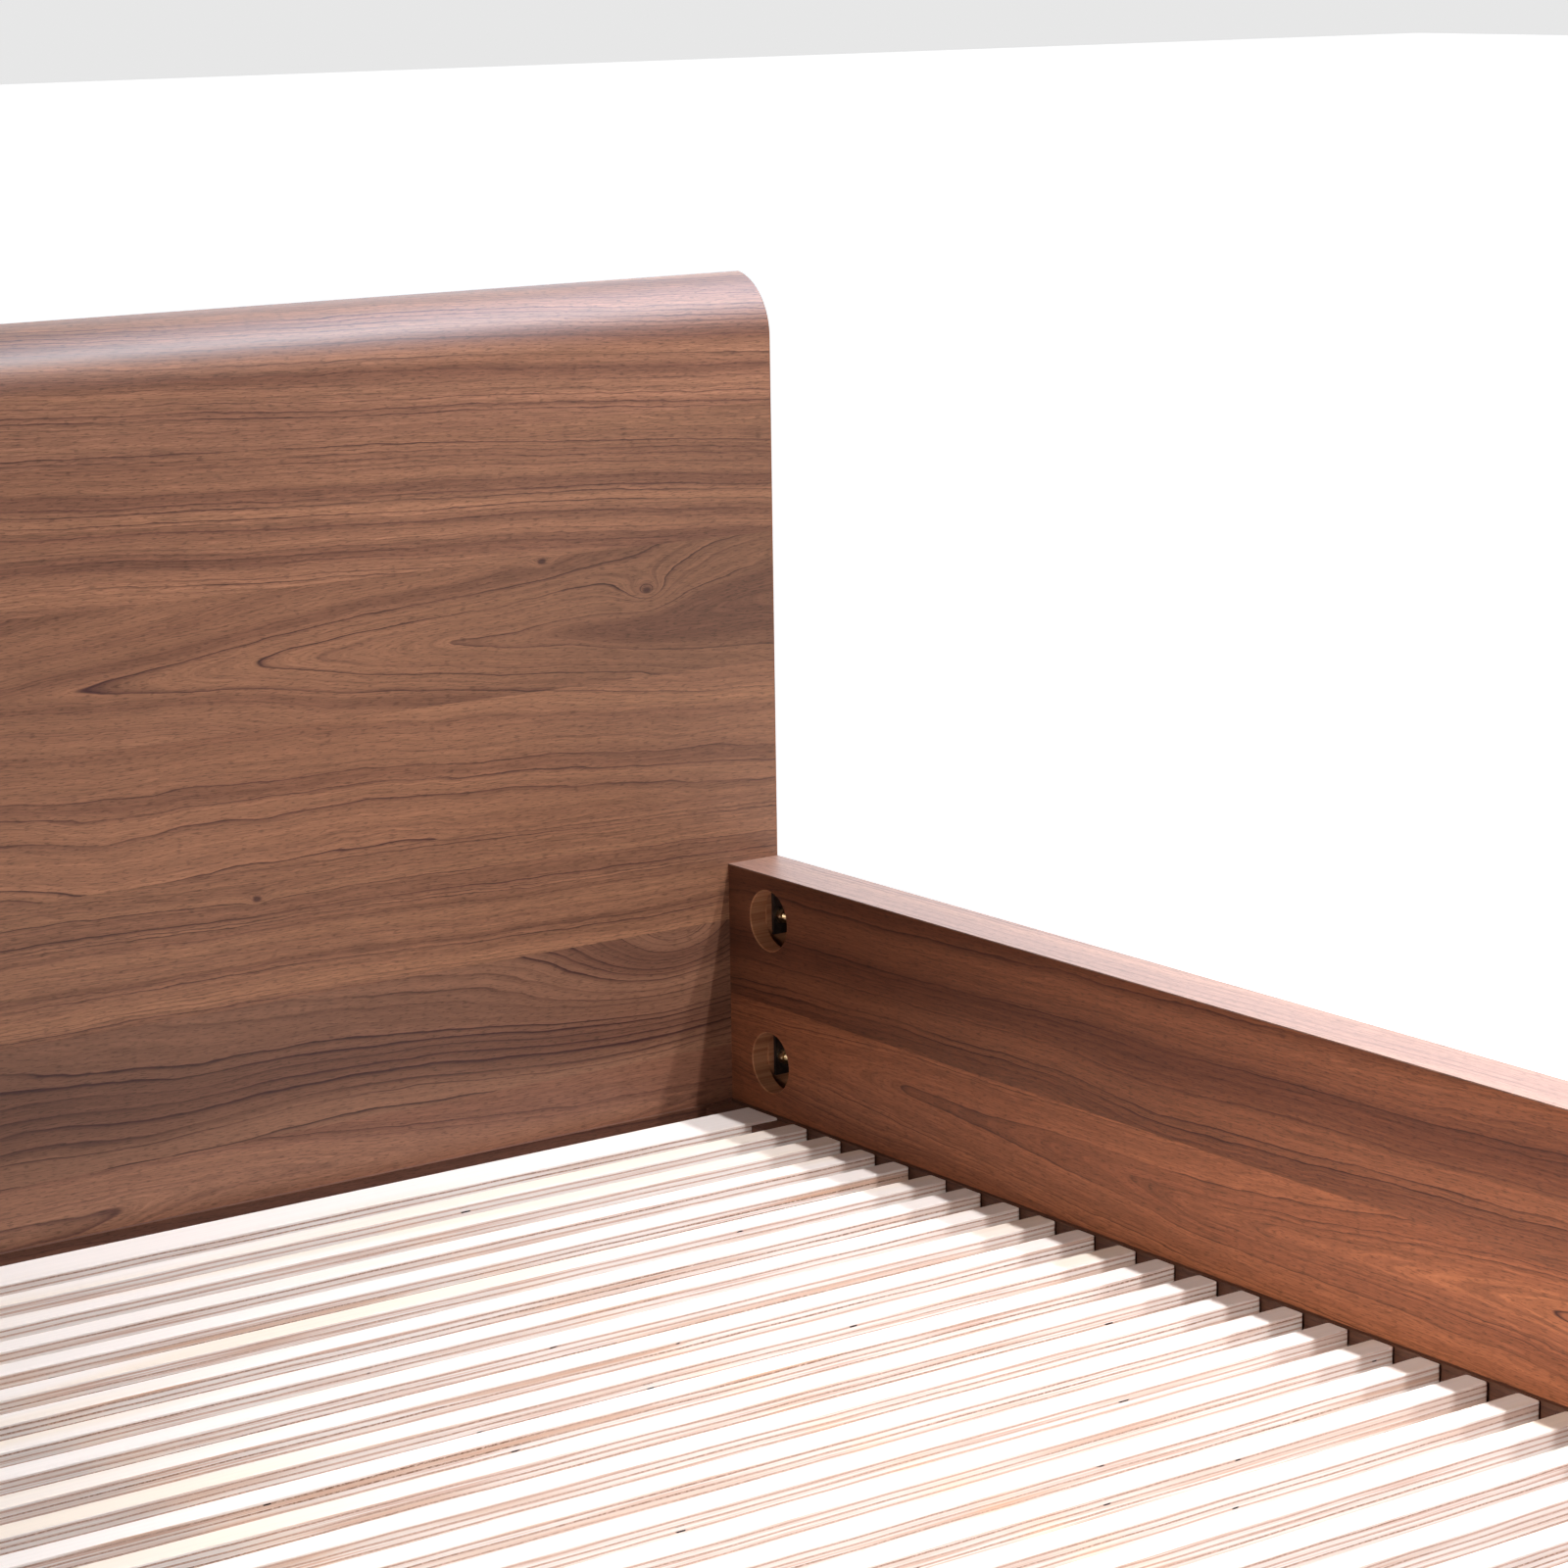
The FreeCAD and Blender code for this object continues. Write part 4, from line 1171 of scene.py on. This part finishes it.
@dataclass
class SlatDeck:
    """The plywood slats: rows of narrow ones, and a wide notched one at each end."""

    finish: bpy.types.Material
    repeater: Repeater
    sections: int = 3
    slats_per_section: int = 14
    slat_width: float = 20.5 * MILLIMETRE
    ease: float = 0.9 * MILLIMETRE
    corner: float = 2.2 * MILLIMETRE
    shift: Point = (0.6 * MILLIMETRE, 0.5 * MILLIMETRE, 0.0)
    turn: float = math.radians(0.10)

    def dress(self, mesh: bpy.types.Mesh) -> None:
        """Mark which faces are cut edges, where the plies show."""
        mask = mesh.attributes.new("ply_edge", "FLOAT", "FACE")
        mask.data.foreach_set("value", [0.0 if abs(face.normal.z) > 0.55 else 1.0 for face in mesh.polygons])

    def slat_template(self, length: float, thickness: float) -> bpy.types.Object:
        """Make one slat about its own middle: rounded end corners, eased arrises.

        Args:
            length: across the bed.
            thickness: depth of the plywood.

        Returns:
            The template object.
        """
        half = Vector((length / 2, self.slat_width / 2, thickness / 2))
        draft = box_draft(-half, half, 0.0)
        upright = [edge for edge in draft.edges if abs(edge.verts[0].co.z - edge.verts[1].co.z) > thickness / 2]
        bmesh.ops.bevel(draft, geom=upright, offset=self.corner, segments=3, profile=0.5, affect="EDGES")
        level = [edge for edge in draft.edges if abs(edge.verts[0].co.z - edge.verts[1].co.z) < 1e-7]
        bmesh.ops.bevel(draft, geom=level, offset=self.ease, segments=2, profile=0.6, affect="EDGES")
        mesh = mesh_from(draft, "slat_template")
        self.dress(mesh)
        return new_object("slat_template", mesh, [])

    def build_section(self, number: int) -> bpy.types.Object:
        """Set out one section of narrow slats along its frame box."""
        node = f"narrow_slats_{number}"
        low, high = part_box(node)
        template = self.slat_template(high.x - low.x - 2 * self.shift[0], high.z - low.z)
        pitch = (high.y - low.y - self.slat_width) / (self.slats_per_section - 1)
        middle = (low + high) / 2
        start = (middle.x, low.y + self.slat_width / 2, middle.z)
        piece = self.repeater.run(node + "_ply", bpy.data.meshes.new(node + "_start"), {
            "Template": template, "Count": self.slats_per_section, "Start": start, "Step": (0.0, pitch, 0.0),
            "Shift": self.shift, "Turn": (0.0, 0.0, self.turn), "Seed": 40 + number, "Material": self.finish})
        bpy.data.objects.remove(template)
        return place_piece(piece, [node])

    def build_wide(self, end: str) -> bpy.types.Object:
        """Make the wide notched slat at one end."""
        node = f"wide_slat_{end}"
        mesh = mesh_from(eased_copy(node, self.ease), node + "_ply")
        self.dress(mesh)
        seeds = mesh.attributes.new("slat_seed", "FLOAT", "POINT")
        seeds.data.foreach_set("value", [0.37 if end == "head" else 0.81] * len(mesh.vertices))
        piece = new_object(mesh.name, mesh, [self.finish])
        return place_piece(piece, [node])

    def build_battens(self, finish: bpy.types.Material) -> None:
        """Make the two battens glued under the slats."""
        for side in RIGHT_LEFT:
            node = f"slat_batten_{side}"
            mesh = mesh_from(eased_copy(node, self.ease), node + "_ply")
            piece = new_object(mesh.name, mesh, [finish])
            place_piece(piece, [node])


@dataclass
class Fittings:
    """Bolts, nuts, plates, inserts, dowels and screws, each repeated on its frame solids."""

    repeater: Repeater
    zinc: bpy.types.Material
    brass: bpy.types.Material
    dark: bpy.types.Material
    bright: bpy.types.Material
    timber: bpy.types.Material
    thread_pitch: float = 1.25 * MILLIMETRE
    screw_pitch: float = 1.6 * MILLIMETRE

    def repeat(self, node: str, template: bpy.types.Mesh, points: Sequence[tuple[Vector, Vector]],
               material: bpy.types.Material, seed: int) -> bpy.types.Object:
        """Put a template on points along their aims.

        Args:
            node: the CAD node that the copies stand for.
            template: the part, about its own +Z.
            points: base point and aim of each copy.
            material: the finish.
            seed: seed of the random spin.

        Returns:
            The group of copies.
        """
        base = bpy.data.meshes.new(node + "_points")
        base.from_pydata([point for point, _ in points], [], [])
        aims = base.attributes.new("aim", "FLOAT_VECTOR", "POINT")
        aims.data.foreach_set("vector", [number for _, aim in points for number in aim])
        sample = new_object(node + "_template", template, [])
        piece = self.repeater.run(node + "_detailed", base, {"Template": sample, "Seed": seed, "Material": material})
        bpy.data.objects.remove(sample)
        piece.data.shade_smooth()
        piece.data.set_sharp_from_angle(angle=math.radians(32))
        return place_piece(piece, [node])

    def lengthwise(self, node: str, inwards: bool) -> tuple[list[tuple[Vector, Vector]], float, float]:
        """Read the places of parts that lie along the bed.

        Args:
            node: the CAD node.
            inwards: aim at the middle of the bed, or away from it.

        Returns:
            Base point and aim of each part, their length and their radius.
        """
        points = []
        length = radius = 0.0
        for low, high in solid_boxes(node):
            sign = 1.0 if low.y + high.y > 0 else -1.0
            aim = Vector((0.0, -sign if inwards else sign, 0.0))
            base = Vector(((low.x + high.x) / 2, low.y if aim.y > 0 else high.y, (low.z + high.z) / 2))
            points.append((base, aim))
            length, radius = high.y - low.y, (high.x - low.x) / 2
        return points, length, radius

    def build_rail_bolts(self) -> None:
        """Make the threaded rail bolts and the chamfered nuts on them."""
        points, length, radius = self.lengthwise("rail_bolts", inwards=True)
        tip = 0.8 * MILLIMETRE
        rings = [(0.0, round_section(radius - tip)), *threaded_rings(tip, length - tip, radius, self.thread_pitch),
                 (length, round_section(radius - 1.2 * tip))]
        self.repeat("rail_bolts", turned_mesh("rail_bolt", rings, 20), points, self.zinc, 3)

        points, height, _ = self.lengthwise("rail_bolt_nuts", inwards=True)
        corner = max(high.z - low.z for low, high in solid_boxes("rail_bolt_nuts")) / 2
        side = corner * math.cos(math.pi / 6)
        chamfer = 0.7 * MILLIMETRE
        rings = [(0.0, hex_section(corner, side)), (chamfer, hex_section(corner, corner)),
                 (height - chamfer, hex_section(corner, corner)), (height, hex_section(corner, side))]
        bore = radius + 0.05 * MILLIMETRE
        nut = turned_mesh("rail_bolt_nut", rings, 48, bore)
        self.repeat("rail_bolt_nuts", nut, points, self.zinc, 5)

    def build_inserts_and_dowels(self) -> None:
        """Make the knurled panel inserts and the fluted dowels."""
        bore = 4.05 * MILLIMETRE
        points, length, radius = self.lengthwise("panel_inserts", inwards=True)
        ridge = 0.35 * MILLIMETRE

        def knurl(angle: float) -> float:
            """Radius of the knurled wall at an angle."""
            return radius - ridge * (0.5 + 0.5 * math.cos(angle * 18))

        collar = length * 0.12
        rings = [(0.0, knurl), (length - 2 * collar, knurl), (length - 2 * collar, round_section(radius - ridge)),
                 (length - collar, round_section(radius - ridge)), (length - collar, round_section(radius)),
                 (length, round_section(radius))]
        insert = turned_mesh("panel_insert", rings, 72, bore)
        self.repeat("panel_inserts", insert, points, self.brass, 7)

        points, length, radius = self.lengthwise("rail_dowels", inwards=True)

        def flute(angle: float) -> float:
            """Radius of the fluted dowel at an angle."""
            return radius - 0.25 * MILLIMETRE * max(0.0, math.cos(angle * 12))

        taper = 1.5 * MILLIMETRE
        rings = [(0.0, round_section(radius - taper)), (taper, flute), (length - taper, flute),
                 (length, round_section(radius - taper))]
        self.repeat("rail_dowels", turned_mesh("rail_dowel", rings, 48), points, self.timber, 9)

    def screw_mesh(self, length: float, head_radius: float, shank_radius: float) -> bpy.types.Mesh:
        """Make a countersunk wood screw with a recess, its head at the base and its point along +Z."""
        head = 2.5 * MILLIMETRE
        recess = head_radius * 0.42
        star = lambda angle: recess * (0.62 + 0.38 * abs(math.cos(2 * angle)) ** 3)
        rings = [(1.5 * MILLIMETRE, star), (0.0, star), (0.0, round_section(head_radius - 0.2 * MILLIMETRE)),
                 (0.15 * MILLIMETRE, round_section(head_radius)), (head, round_section(shank_radius * 0.86)),
                 (length * 0.35, round_section(shank_radius * 0.86)),
                 *threaded_rings(length * 0.36, length - 3.5 * MILLIMETRE, shank_radius, self.screw_pitch),
                 (length, round_section(0.2 * MILLIMETRE))]
        return turned_mesh("wood_screw", rings, 32)

    def build_screws(self) -> None:
        """Make the ledger, corner block and hanger screws."""
        plans = (("ledger_screws", 11), ("corner_block_screws", 13), ("hanger_screws", 15))
        for node, seed in plans:
            points = []
            length = head = 0.0
            for low, high in solid_boxes(node):
                size = high - low
                axis = max(range(3), key=lambda index: size[index])
                middle = (low + high) / 2
                aim = Vector((0.0, 0.0, 0.0))
                aim[axis] = -1.0 if axis == Axis.UP.value else math.copysign(1.0, middle[axis])
                base = middle - aim * size[axis] / 2
                points.append((base, aim))
                length, head = size[axis], min(size) / 2
            screw = self.screw_mesh(length, head, head / 2)
            self.repeat(node, screw, points, self.zinc, seed)

    def build_plates(self) -> None:
        """Make the dark backing plates and the beam hangers with eased edges."""
        for node in ("rail_bolt_plates", "beam_hanger_head", "beam_hanger_foot"):
            mesh = mesh_from(eased_copy(node, 0.35 * MILLIMETRE), node + "_steel")
            mesh.shade_smooth()
            mesh.set_sharp_from_angle(angle=math.radians(28))
            place_piece(new_object(mesh.name, mesh, [self.dark]), [node])

    def build_leg_bolts(self) -> None:
        """Make the bolts that hold the centre legs to the beam, and the collets in their feet."""
        boxes = solid_boxes("leg_bolts")
        up = Vector((0.0, 0.0, 1.0))
        points = [(Vector(((low.x + high.x) / 2, (low.y + high.y) / 2, low.z)), up) for low, high in boxes]
        low, high = boxes[0]
        radius, length = (high.x - low.x) / 2, high.z - low.z
        rings = [(0.0, round_section(radius * 0.8)), *threaded_rings(0.6 * MILLIMETRE, length * 0.42, radius,
                                                                      self.thread_pitch),
                 (length * 0.43, round_section(radius)), (length * 0.57, round_section(radius)),
                 *threaded_rings(length * 0.58, length - 0.6 * MILLIMETRE, radius, self.thread_pitch),
                 (length, round_section(radius * 0.8))]
        self.repeat("leg_bolts", turned_mesh("leg_bolt", rings, 20), points, self.bright, 17)
        mesh = mesh_from(eased_copy("leveller_collets", 0.4 * MILLIMETRE), "leveller_collets_turned")
        mesh.shade_smooth()
        mesh.set_sharp_from_angle(angle=math.radians(28))
        place_piece(new_object(mesh.name, mesh, [self.brass]), ["leveller_collets"])


@dataclass
class CentreSupport:
    """The centre beam, its two legs and the levellers that screw into them."""

    timber: bpy.types.Material
    leg_timber: bpy.types.Material
    steel: bpy.types.Material
    plastic: bpy.types.Material
    repeater: Repeater
    collar_height: float = 6 * MILLIMETRE
    pitch: float = 1.5 * MILLIMETRE

    def build_beam(self) -> None:
        """Make the beam and legs with rounded arrises."""
        plans = (("centre_beam", self.timber, 3.0), ("centre_leg_head", self.leg_timber, 3.0),
                 ("centre_leg_foot", self.leg_timber, 3.0))
        for node, finish, ease in plans:
            mesh = mesh_from(eased_copy(node, ease * MILLIMETRE, 3), node + "_planed")
            place_piece(new_object(mesh.name, mesh, [finish]), [node])

    def build_leveller(self, end: str) -> None:
        """Make one leveller: its dished pad and its threaded stud with a hexagonal collar."""
        body = f"{end}_leveller"
        low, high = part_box(f"leveller_pad_{end}")
        middle = (low + high) / 2
        radius, height = (high.x - low.x) / 2, high.z - low.z
        stud_low, stud_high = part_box(f"leveller_stud_{end}")
        stud_radius = 5 * MILLIMETRE
        rings = [(0.0, round_section(radius - 1.5 * MILLIMETRE)), (1.2 * MILLIMETRE, round_section(radius)),
                 (3.0 * MILLIMETRE, round_section(radius)), (4.5 * MILLIMETRE, round_section(radius * 0.82)),
                 (height - 1.0 * MILLIMETRE, round_section(radius * 0.50)), (height, round_section(radius * 0.46)),
                 (height, round_section(stud_radius + 0.1 * MILLIMETRE)),
                 (stud_low.z, round_section(stud_radius + 0.1 * MILLIMETRE))]
        mesh = turned_mesh(f"leveller_pad_{end}_moulded", rings, 64)
        mesh.transform(Matrix.Translation((middle.x, middle.y, 0.0)))
        mesh.shade_smooth()
        mesh.set_sharp_from_angle(angle=math.radians(35))
        place_piece(new_object(mesh.name, mesh, [self.plastic]), [f"leveller_pad_{end}"], body)

        corner = (stud_high.x - stud_low.x) / 2
        side = corner * math.cos(math.pi / 6)
        base, top = high.z, high.z + self.collar_height
        chamfer = 0.6 * MILLIMETRE
        rings = [(stud_low.z, round_section(stud_radius)), (base, round_section(stud_radius)),
                 (base, hex_section(corner, side)), (base + chamfer, hex_section(corner, corner)),
                 (top - chamfer, hex_section(corner, corner)), (top, hex_section(corner, side)),
                 (top, round_section(stud_radius * 0.9)),
                 *threaded_rings(top + 0.5 * MILLIMETRE, stud_high.z - 0.8 * MILLIMETRE, stud_radius, self.pitch),
                 (stud_high.z, round_section(stud_radius * 0.75))]
        mesh = turned_mesh(f"leveller_stud_{end}_threaded", rings, 36)
        mesh.transform(Matrix.Translation((middle.x, middle.y, 0.0)))
        mesh.shade_smooth()
        mesh.set_sharp_from_angle(angle=math.radians(32))
        place_piece(new_object(mesh.name, mesh, [self.steel]), [f"leveller_stud_{end}"], body)

    def build_glides(self) -> None:
        """Make the domed glides under both end panels."""
        for end in HEAD_FOOT:
            node = f"{end}board_glides"
            boxes = solid_boxes(node)
            low, high = boxes[0]
            radius, height = (high.x - low.x) / 2, high.z - low.z
            rings = [(0.0, round_section(radius * 0.80)), (0.35 * height, round_section(radius * 0.97)),
                     (0.6 * height, round_section(radius)), (height, round_section(radius))]
            template = new_object(node + "_template", turned_mesh("glide", rings, 48), [])
            base = bpy.data.meshes.new(node + "_points")
            places = [((a.x + b.x) / 2, (a.y + b.y) / 2, a.z) for a, b in boxes]
            base.from_pydata(places, [], [])
            aims = base.attributes.new("aim", "FLOAT_VECTOR", "POINT")
            aims.data.foreach_set("vector", [0.0, 0.0, 1.0] * len(places))
            piece = self.repeater.run(node + "_moulded", base, {
                "Template": template, "Seed": 19, "Material": self.plastic})
            bpy.data.objects.remove(template)
            piece.data.shade_smooth()
            piece.data.set_sharp_from_angle(angle=math.radians(35))
            place_piece(piece, [node])


# --- Studio -----------------------------------------------------------------------------------


@dataclass(frozen=True)
class Lamp:
    """One disc lamp, placed and pointed as seen from the headboard corner."""

    name: str
    aim: Point
    distance: float
    size: float
    power: float
    tint: Colour
    target: Point = (0.0, 0.0, 0.0)
    spread: float = math.pi
    sheen_only: bool = False


@dataclass
class Studio:
    """Floor, soft lights and the camera, placed from the bed's headboard corner."""

    floor_finish: bpy.types.Material
    camera_offset: Point = (-1.9796, -2.7512, 0.7539)
    yaw: float = math.radians(35.84)
    pitch: float = math.radians(11.57)
    roll: float = math.radians(0.83)
    lens: float = 96.19
    lamps: Sequence[Lamp] = (
        Lamp("key_steep", (0.15, -0.48, 0.86), 4.0, 0.12, 17.0, (1.0, 0.97, 0.95),
             target=(0.0, -0.90, -0.20), spread=math.radians(56)),
        Lamp("key_wide", (0.30, -0.45, 0.84), 4.0, 0.14, 14.0, (1.0, 0.97, 0.95),
             target=(0.0, -0.90, -0.20), spread=math.radians(56)),
        Lamp("fill", (-0.781, -0.600, 0.172), 2.21, 0.45, 4.4, (1.0, 0.90, 0.81),
             target=(-0.05, -0.975, -0.12), spread=math.radians(64)),
        Lamp("sheen_front", (0.48, -0.22, 0.85), 2.4, 2.3, 95.0, (0.50, 0.70, 1.0), sheen_only=True),
        Lamp("sheen_back", (0.50, 0.52, 0.69), 2.4, 2.3, 26.0, (0.70, 0.84, 1.0), sheen_only=True),
    )
    ambient: float = 0.06

    def corner(self) -> Vector:
        """Return the corner where the right-hand rail's top meets the headboard, on the outside."""
        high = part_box("right_rail_top_band")[1]
        return Vector((high.x, high.y, high.z))

    def build_floor(self) -> None:
        """Lay the pale floor."""
        draft = bmesh.new()
        bmesh.ops.create_grid(draft, x_segments=1, y_segments=1, size=30.0)
        floor = new_object("studio_floor", mesh_from(draft, "studio_floor"), [self.floor_finish])

    def build_world(self) -> None:
        """Surround the set with white that lights matt surfaces only softly."""
        world = bpy.data.worlds.new("studio")
        bpy.context.scene.world = world
        world.use_nodes = True
        nodes, links = world.node_tree.nodes, world.node_tree.links
        nodes.clear()
        path = nodes.new("ShaderNodeLightPath")
        level = nodes.new("ShaderNodeMapRange")
        level.inputs["To Min"].default_value = 1.0
        level.inputs["To Max"].default_value = self.ambient
        links.new(path.outputs["Is Diffuse Ray"], level.inputs["Value"])
        background = nodes.new("ShaderNodeBackground")
        links.new(level.outputs["Result"], background.inputs["Strength"])
        output = nodes.new("ShaderNodeOutputWorld")
        links.new(background.outputs[0], output.inputs[0])

    def build_lights(self) -> None:
        """Hang the lamps around the corner, each aimed at it and out of the camera's sight."""
        for lamp in self.lamps:
            light = bpy.data.lights.new(lamp.name, "AREA")
            light.shape = "DISK"
            light.size = lamp.size
            light.energy = lamp.power
            light.color = lamp.tint
            light.spread = lamp.spread
            holder = bpy.data.objects.new(lamp.name, light)
            offset = Vector(lamp.aim).normalized() * lamp.distance
            holder.location = self.corner() + offset
            holder.rotation_euler = (offset - Vector(lamp.target)).to_track_quat("Z", "Y").to_euler()
            holder.visible_camera = False
            holder.visible_diffuse = not lamp.sheen_only
            bpy.context.scene.collection.objects.link(holder)

    def build_camera(self) -> None:
        """Set up the camera at its yaw, pitch and roll."""
        forward = Vector((math.sin(self.yaw) * math.cos(self.pitch), math.cos(self.yaw) * math.cos(self.pitch),
                          -math.sin(self.pitch)))
        level_right = Vector((math.cos(self.yaw), -math.sin(self.yaw), 0.0))
        level_down = forward.cross(level_right)
        right = math.cos(self.roll) * level_right + math.sin(self.roll) * level_down
        down = math.cos(self.roll) * level_down - math.sin(self.roll) * level_right
        turn = Matrix((right, -down, -forward)).transposed().to_4x4()
        data = bpy.data.cameras.new("camera")
        data.lens = self.lens
        data.sensor_width = 36.0
        camera = bpy.data.objects.new("camera", data)
        camera.matrix_world = Matrix.Translation(self.corner() + Vector(self.camera_offset)) @ turn
        bpy.context.scene.collection.objects.link(camera)
        bpy.context.scene.camera = camera

    def build(self) -> None:
        """Build the whole set."""
        bpy.context.scene.view_settings.view_transform = "Standard"
        self.build_camera()
        self.build_floor()
        self.build_world()
        self.build_lights()


# --- Veneer choices ---------------------------------------------------------------------------


def headboard_leaves() -> list[VeneerLeaf]:
    """Return the leaves on the headboard's sleeper's side, from the floor to the roll."""
    return [
        VeneerLeaf(seed=1, tone=0.0),
        VeneerLeaf(seed=2, tone=0.02, heart=0.10, taper=0.05),
        VeneerLeaf(seed=3, tone=-0.03, warmth=0.15, heart=0.23, taper=0.05, rings=130, wander=0.9),
        VeneerLeaf(seed=4, tone=-0.34, warmth=0.10, heart=0.290, taper=-0.05, rings=100, wander=1.2,
                   contrast=1.5, streaks=0.8, knots=((0.725, 0.380, 0.055), (0.708, 0.380, 0.004))),
        # Painted shade: the next four leaves darken towards the headboard's right-hand end, where the light falls off.
        VeneerLeaf(seed=5, tone=-0.12, warmth=0.45, heart=0.10, taper=0.03, rings=300, wander=0.6, painted_shade=-0.10,
                   streaks=1.2, knots=((0.337, 0.455, 0.003),)),
        VeneerLeaf(seed=6, tone=0.04, warmth=0.45, heart=0.47, taper=0.05, rings=170, wander=1.3, painted_shade=-0.28),
        VeneerLeaf(seed=7, tone=0.0, warmth=0.40, heart=0.642, taper=-0.10, rings=150, wander=1.0, painted_shade=-0.44,
                   knots=((0.601, 0.688, 0.004), (0.70, 0.655, 0.012))),
        VeneerLeaf(seed=8, tone=0.12, warmth=0.35, heart=0.45, taper=0.02, rings=250, wander=0.6, painted_shade=-0.32,
                   lean=0.03, streaks=1.2),
        VeneerLeaf(seed=9, tone=0.12, warmth=0.20, heart=0.30, taper=0.02, rings=260, wander=0.5, lean=0.03,
                   streaks=1.2),
    ]


def plain_leaves(count: int, first_seed: int) -> list[VeneerLeaf]:
    """Return leaves whose figure varies gently from one to the next.

    Args:
        count: how many leaves.
        first_seed: seed of the first one.

    Returns:
        The leaves.
    """
    leaves = []
    for index in range(count):
        swing = math.sin(first_seed * 1.7 + index * 2.4)
        leaves.append(VeneerLeaf(
            seed=first_seed + index, tone=0.07 * swing, warmth=0.35 + 0.2 * math.cos(index * 1.9),
            heart=0.25 * swing, apex=0.6 * math.cos(index * 1.3), taper=0.05 + 0.04 * abs(swing),
            rings=110 + 35 * swing, wander=0.8))
    return leaves


def main() -> None:
    """Build the bed's pieces in order, then the studio."""
    logging.basicConfig(level=logging.INFO, format="%(name)s: %(message)s")
    deck_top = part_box("narrow_slats_1")[1].z

    panel_walnut = WalnutFinish("walnut_panel_veneer").build()
    rail_walnut = WalnutFinish("walnut_rail_veneer", pale=(0.24, 0.085, 0.042), deep=(0.120, 0.036, 0.018),
                               amber=(0.29, 0.103, 0.044), line=(0.042, 0.011, 0.007), gloss=0.2,
                               lacquer=0.12).build()
    # The rail bands' walnut is paler and greyer than the skins. It is its own colour plus painted reflection of the
    # bright studio on the rail tops.
    band_walnut_painted_sheen = WalnutFinish("walnut_band_veneer", pale=(0.34, 0.205, 0.165), deep=(0.25, 0.145, 0.118)).build()
    ledger_walnut = WalnutFinish("walnut_ledger_solid", pale=(0.235, 0.105, 0.068), deep=(0.130, 0.054, 0.036),
                                 amber=(0.24, 0.100, 0.052), gloss=0.25, lacquer=0.2).build()
    edge_walnut = WalnutFinish("walnut_edge_veneer", pale=(0.22, 0.080, 0.043), deep=(0.14, 0.051, 0.032)).build()
    ply = PlyFinish("birch_ply", top=deck_top).build()
    core = TimberFinish("core_board", (0.44, 0.205, 0.108), (0.26, 0.110, 0.055), Axis.ACROSS, 420.0).build()
    batten_timber = TimberFinish("batten_timber", (0.70, 0.56, 0.40), (0.58, 0.42, 0.27), Axis.LENGTHWISE).build()
    leg_timber = TimberFinish("leg_timber", (0.70, 0.56, 0.40), (0.58, 0.42, 0.27), Axis.UP).build()
    zinc = MetalFinish("yellow_zinc", (0.62, 0.47, 0.28), (0.34, 0.22, 0.13)).build()
    brass = MetalFinish("turned_brass", (0.80, 0.60, 0.28), (0.60, 0.44, 0.22)).build()
    dark = MetalFinish("blackened_steel", (0.022, 0.016, 0.015), (0.05, 0.035, 0.03), 0.4, 0.42).build()
    bright = MetalFinish("bright_zinc", (0.70, 0.70, 0.70), (0.50, 0.50, 0.50)).build()
    plastic = MouldedFinish("black_plastic", (0.03, 0.03, 0.03), (0.07, 0.07, 0.07)).build()
    floor = StudioFinish("studio_floor", (0.93, 0.93, 0.93)).build()

    panels = (
        RolledPanel("head", panel_walnut, edge_walnut, headboard_leaves(), plain_leaves(9, 31)),
        RolledPanel("foot", panel_walnut, edge_walnut, plain_leaves(6, 51), plain_leaves(6, 71)),
    )
    for panel in panels:
        panel.build_panel()
        for side in RIGHT_LEFT:
            panel.build_band(side)

    inner_leaves = [
        VeneerLeaf(seed=61, tone=-0.05, warmth=0.5),
        # Painted shade: these two leaves darken towards the rail's head end, in the corner by the headboard.
        VeneerLeaf(seed=62, tone=0.14, warmth=0.80, heart=0.275, taper=0.05, rings=210, wander=0.9, painted_shade=-0.16,
                   streaks=1.15),
        VeneerLeaf(seed=63, tone=-0.20, warmth=0.30, heart=0.30, taper=0.03, rings=150, wander=0.8, painted_shade=-0.20,
                   streaks=1.15),
    ]
    for side in RIGHT_LEFT:
        rail = HollowRail(side, rail_walnut, band_walnut_painted_sheen, core, inner_leaves, plain_leaves(3, 81))
        rail.build_inner_skin()
        rail.build_outer_skin()
        rail.build_band("top", VeneerLeaf(seed=91, tone=0.12, warmth=0.3, heart=0.2, taper=0.02, rings=150, wander=0.5))
        rail.build_band("bottom", VeneerLeaf(seed=92, heart=0.2, taper=0.02, rings=150, wander=0.5))
        rail.build_core()

    Ledgers(ledger_walnut).build()

    deck = SlatDeck(ply, row_repeater())
    for number in range(1, deck.sections + 1):
        deck.build_section(number)
    for end in HEAD_FOOT:
        deck.build_wide(end)
    deck.build_battens(batten_timber)

    on_points = point_repeater()
    fittings = Fittings(on_points, zinc, brass, dark, bright, core)
    fittings.build_rail_bolts()
    fittings.build_inserts_and_dowels()
    fittings.build_screws()
    fittings.build_plates()
    fittings.build_leg_bolts()

    support = CentreSupport(batten_timber, leg_timber, bright, plastic, on_points)
    support.build_beam()
    for end in HEAD_FOOT:
        support.build_leveller(end)
    support.build_glides()

    Studio(floor).build()


if __name__ == "__main__":
    main()
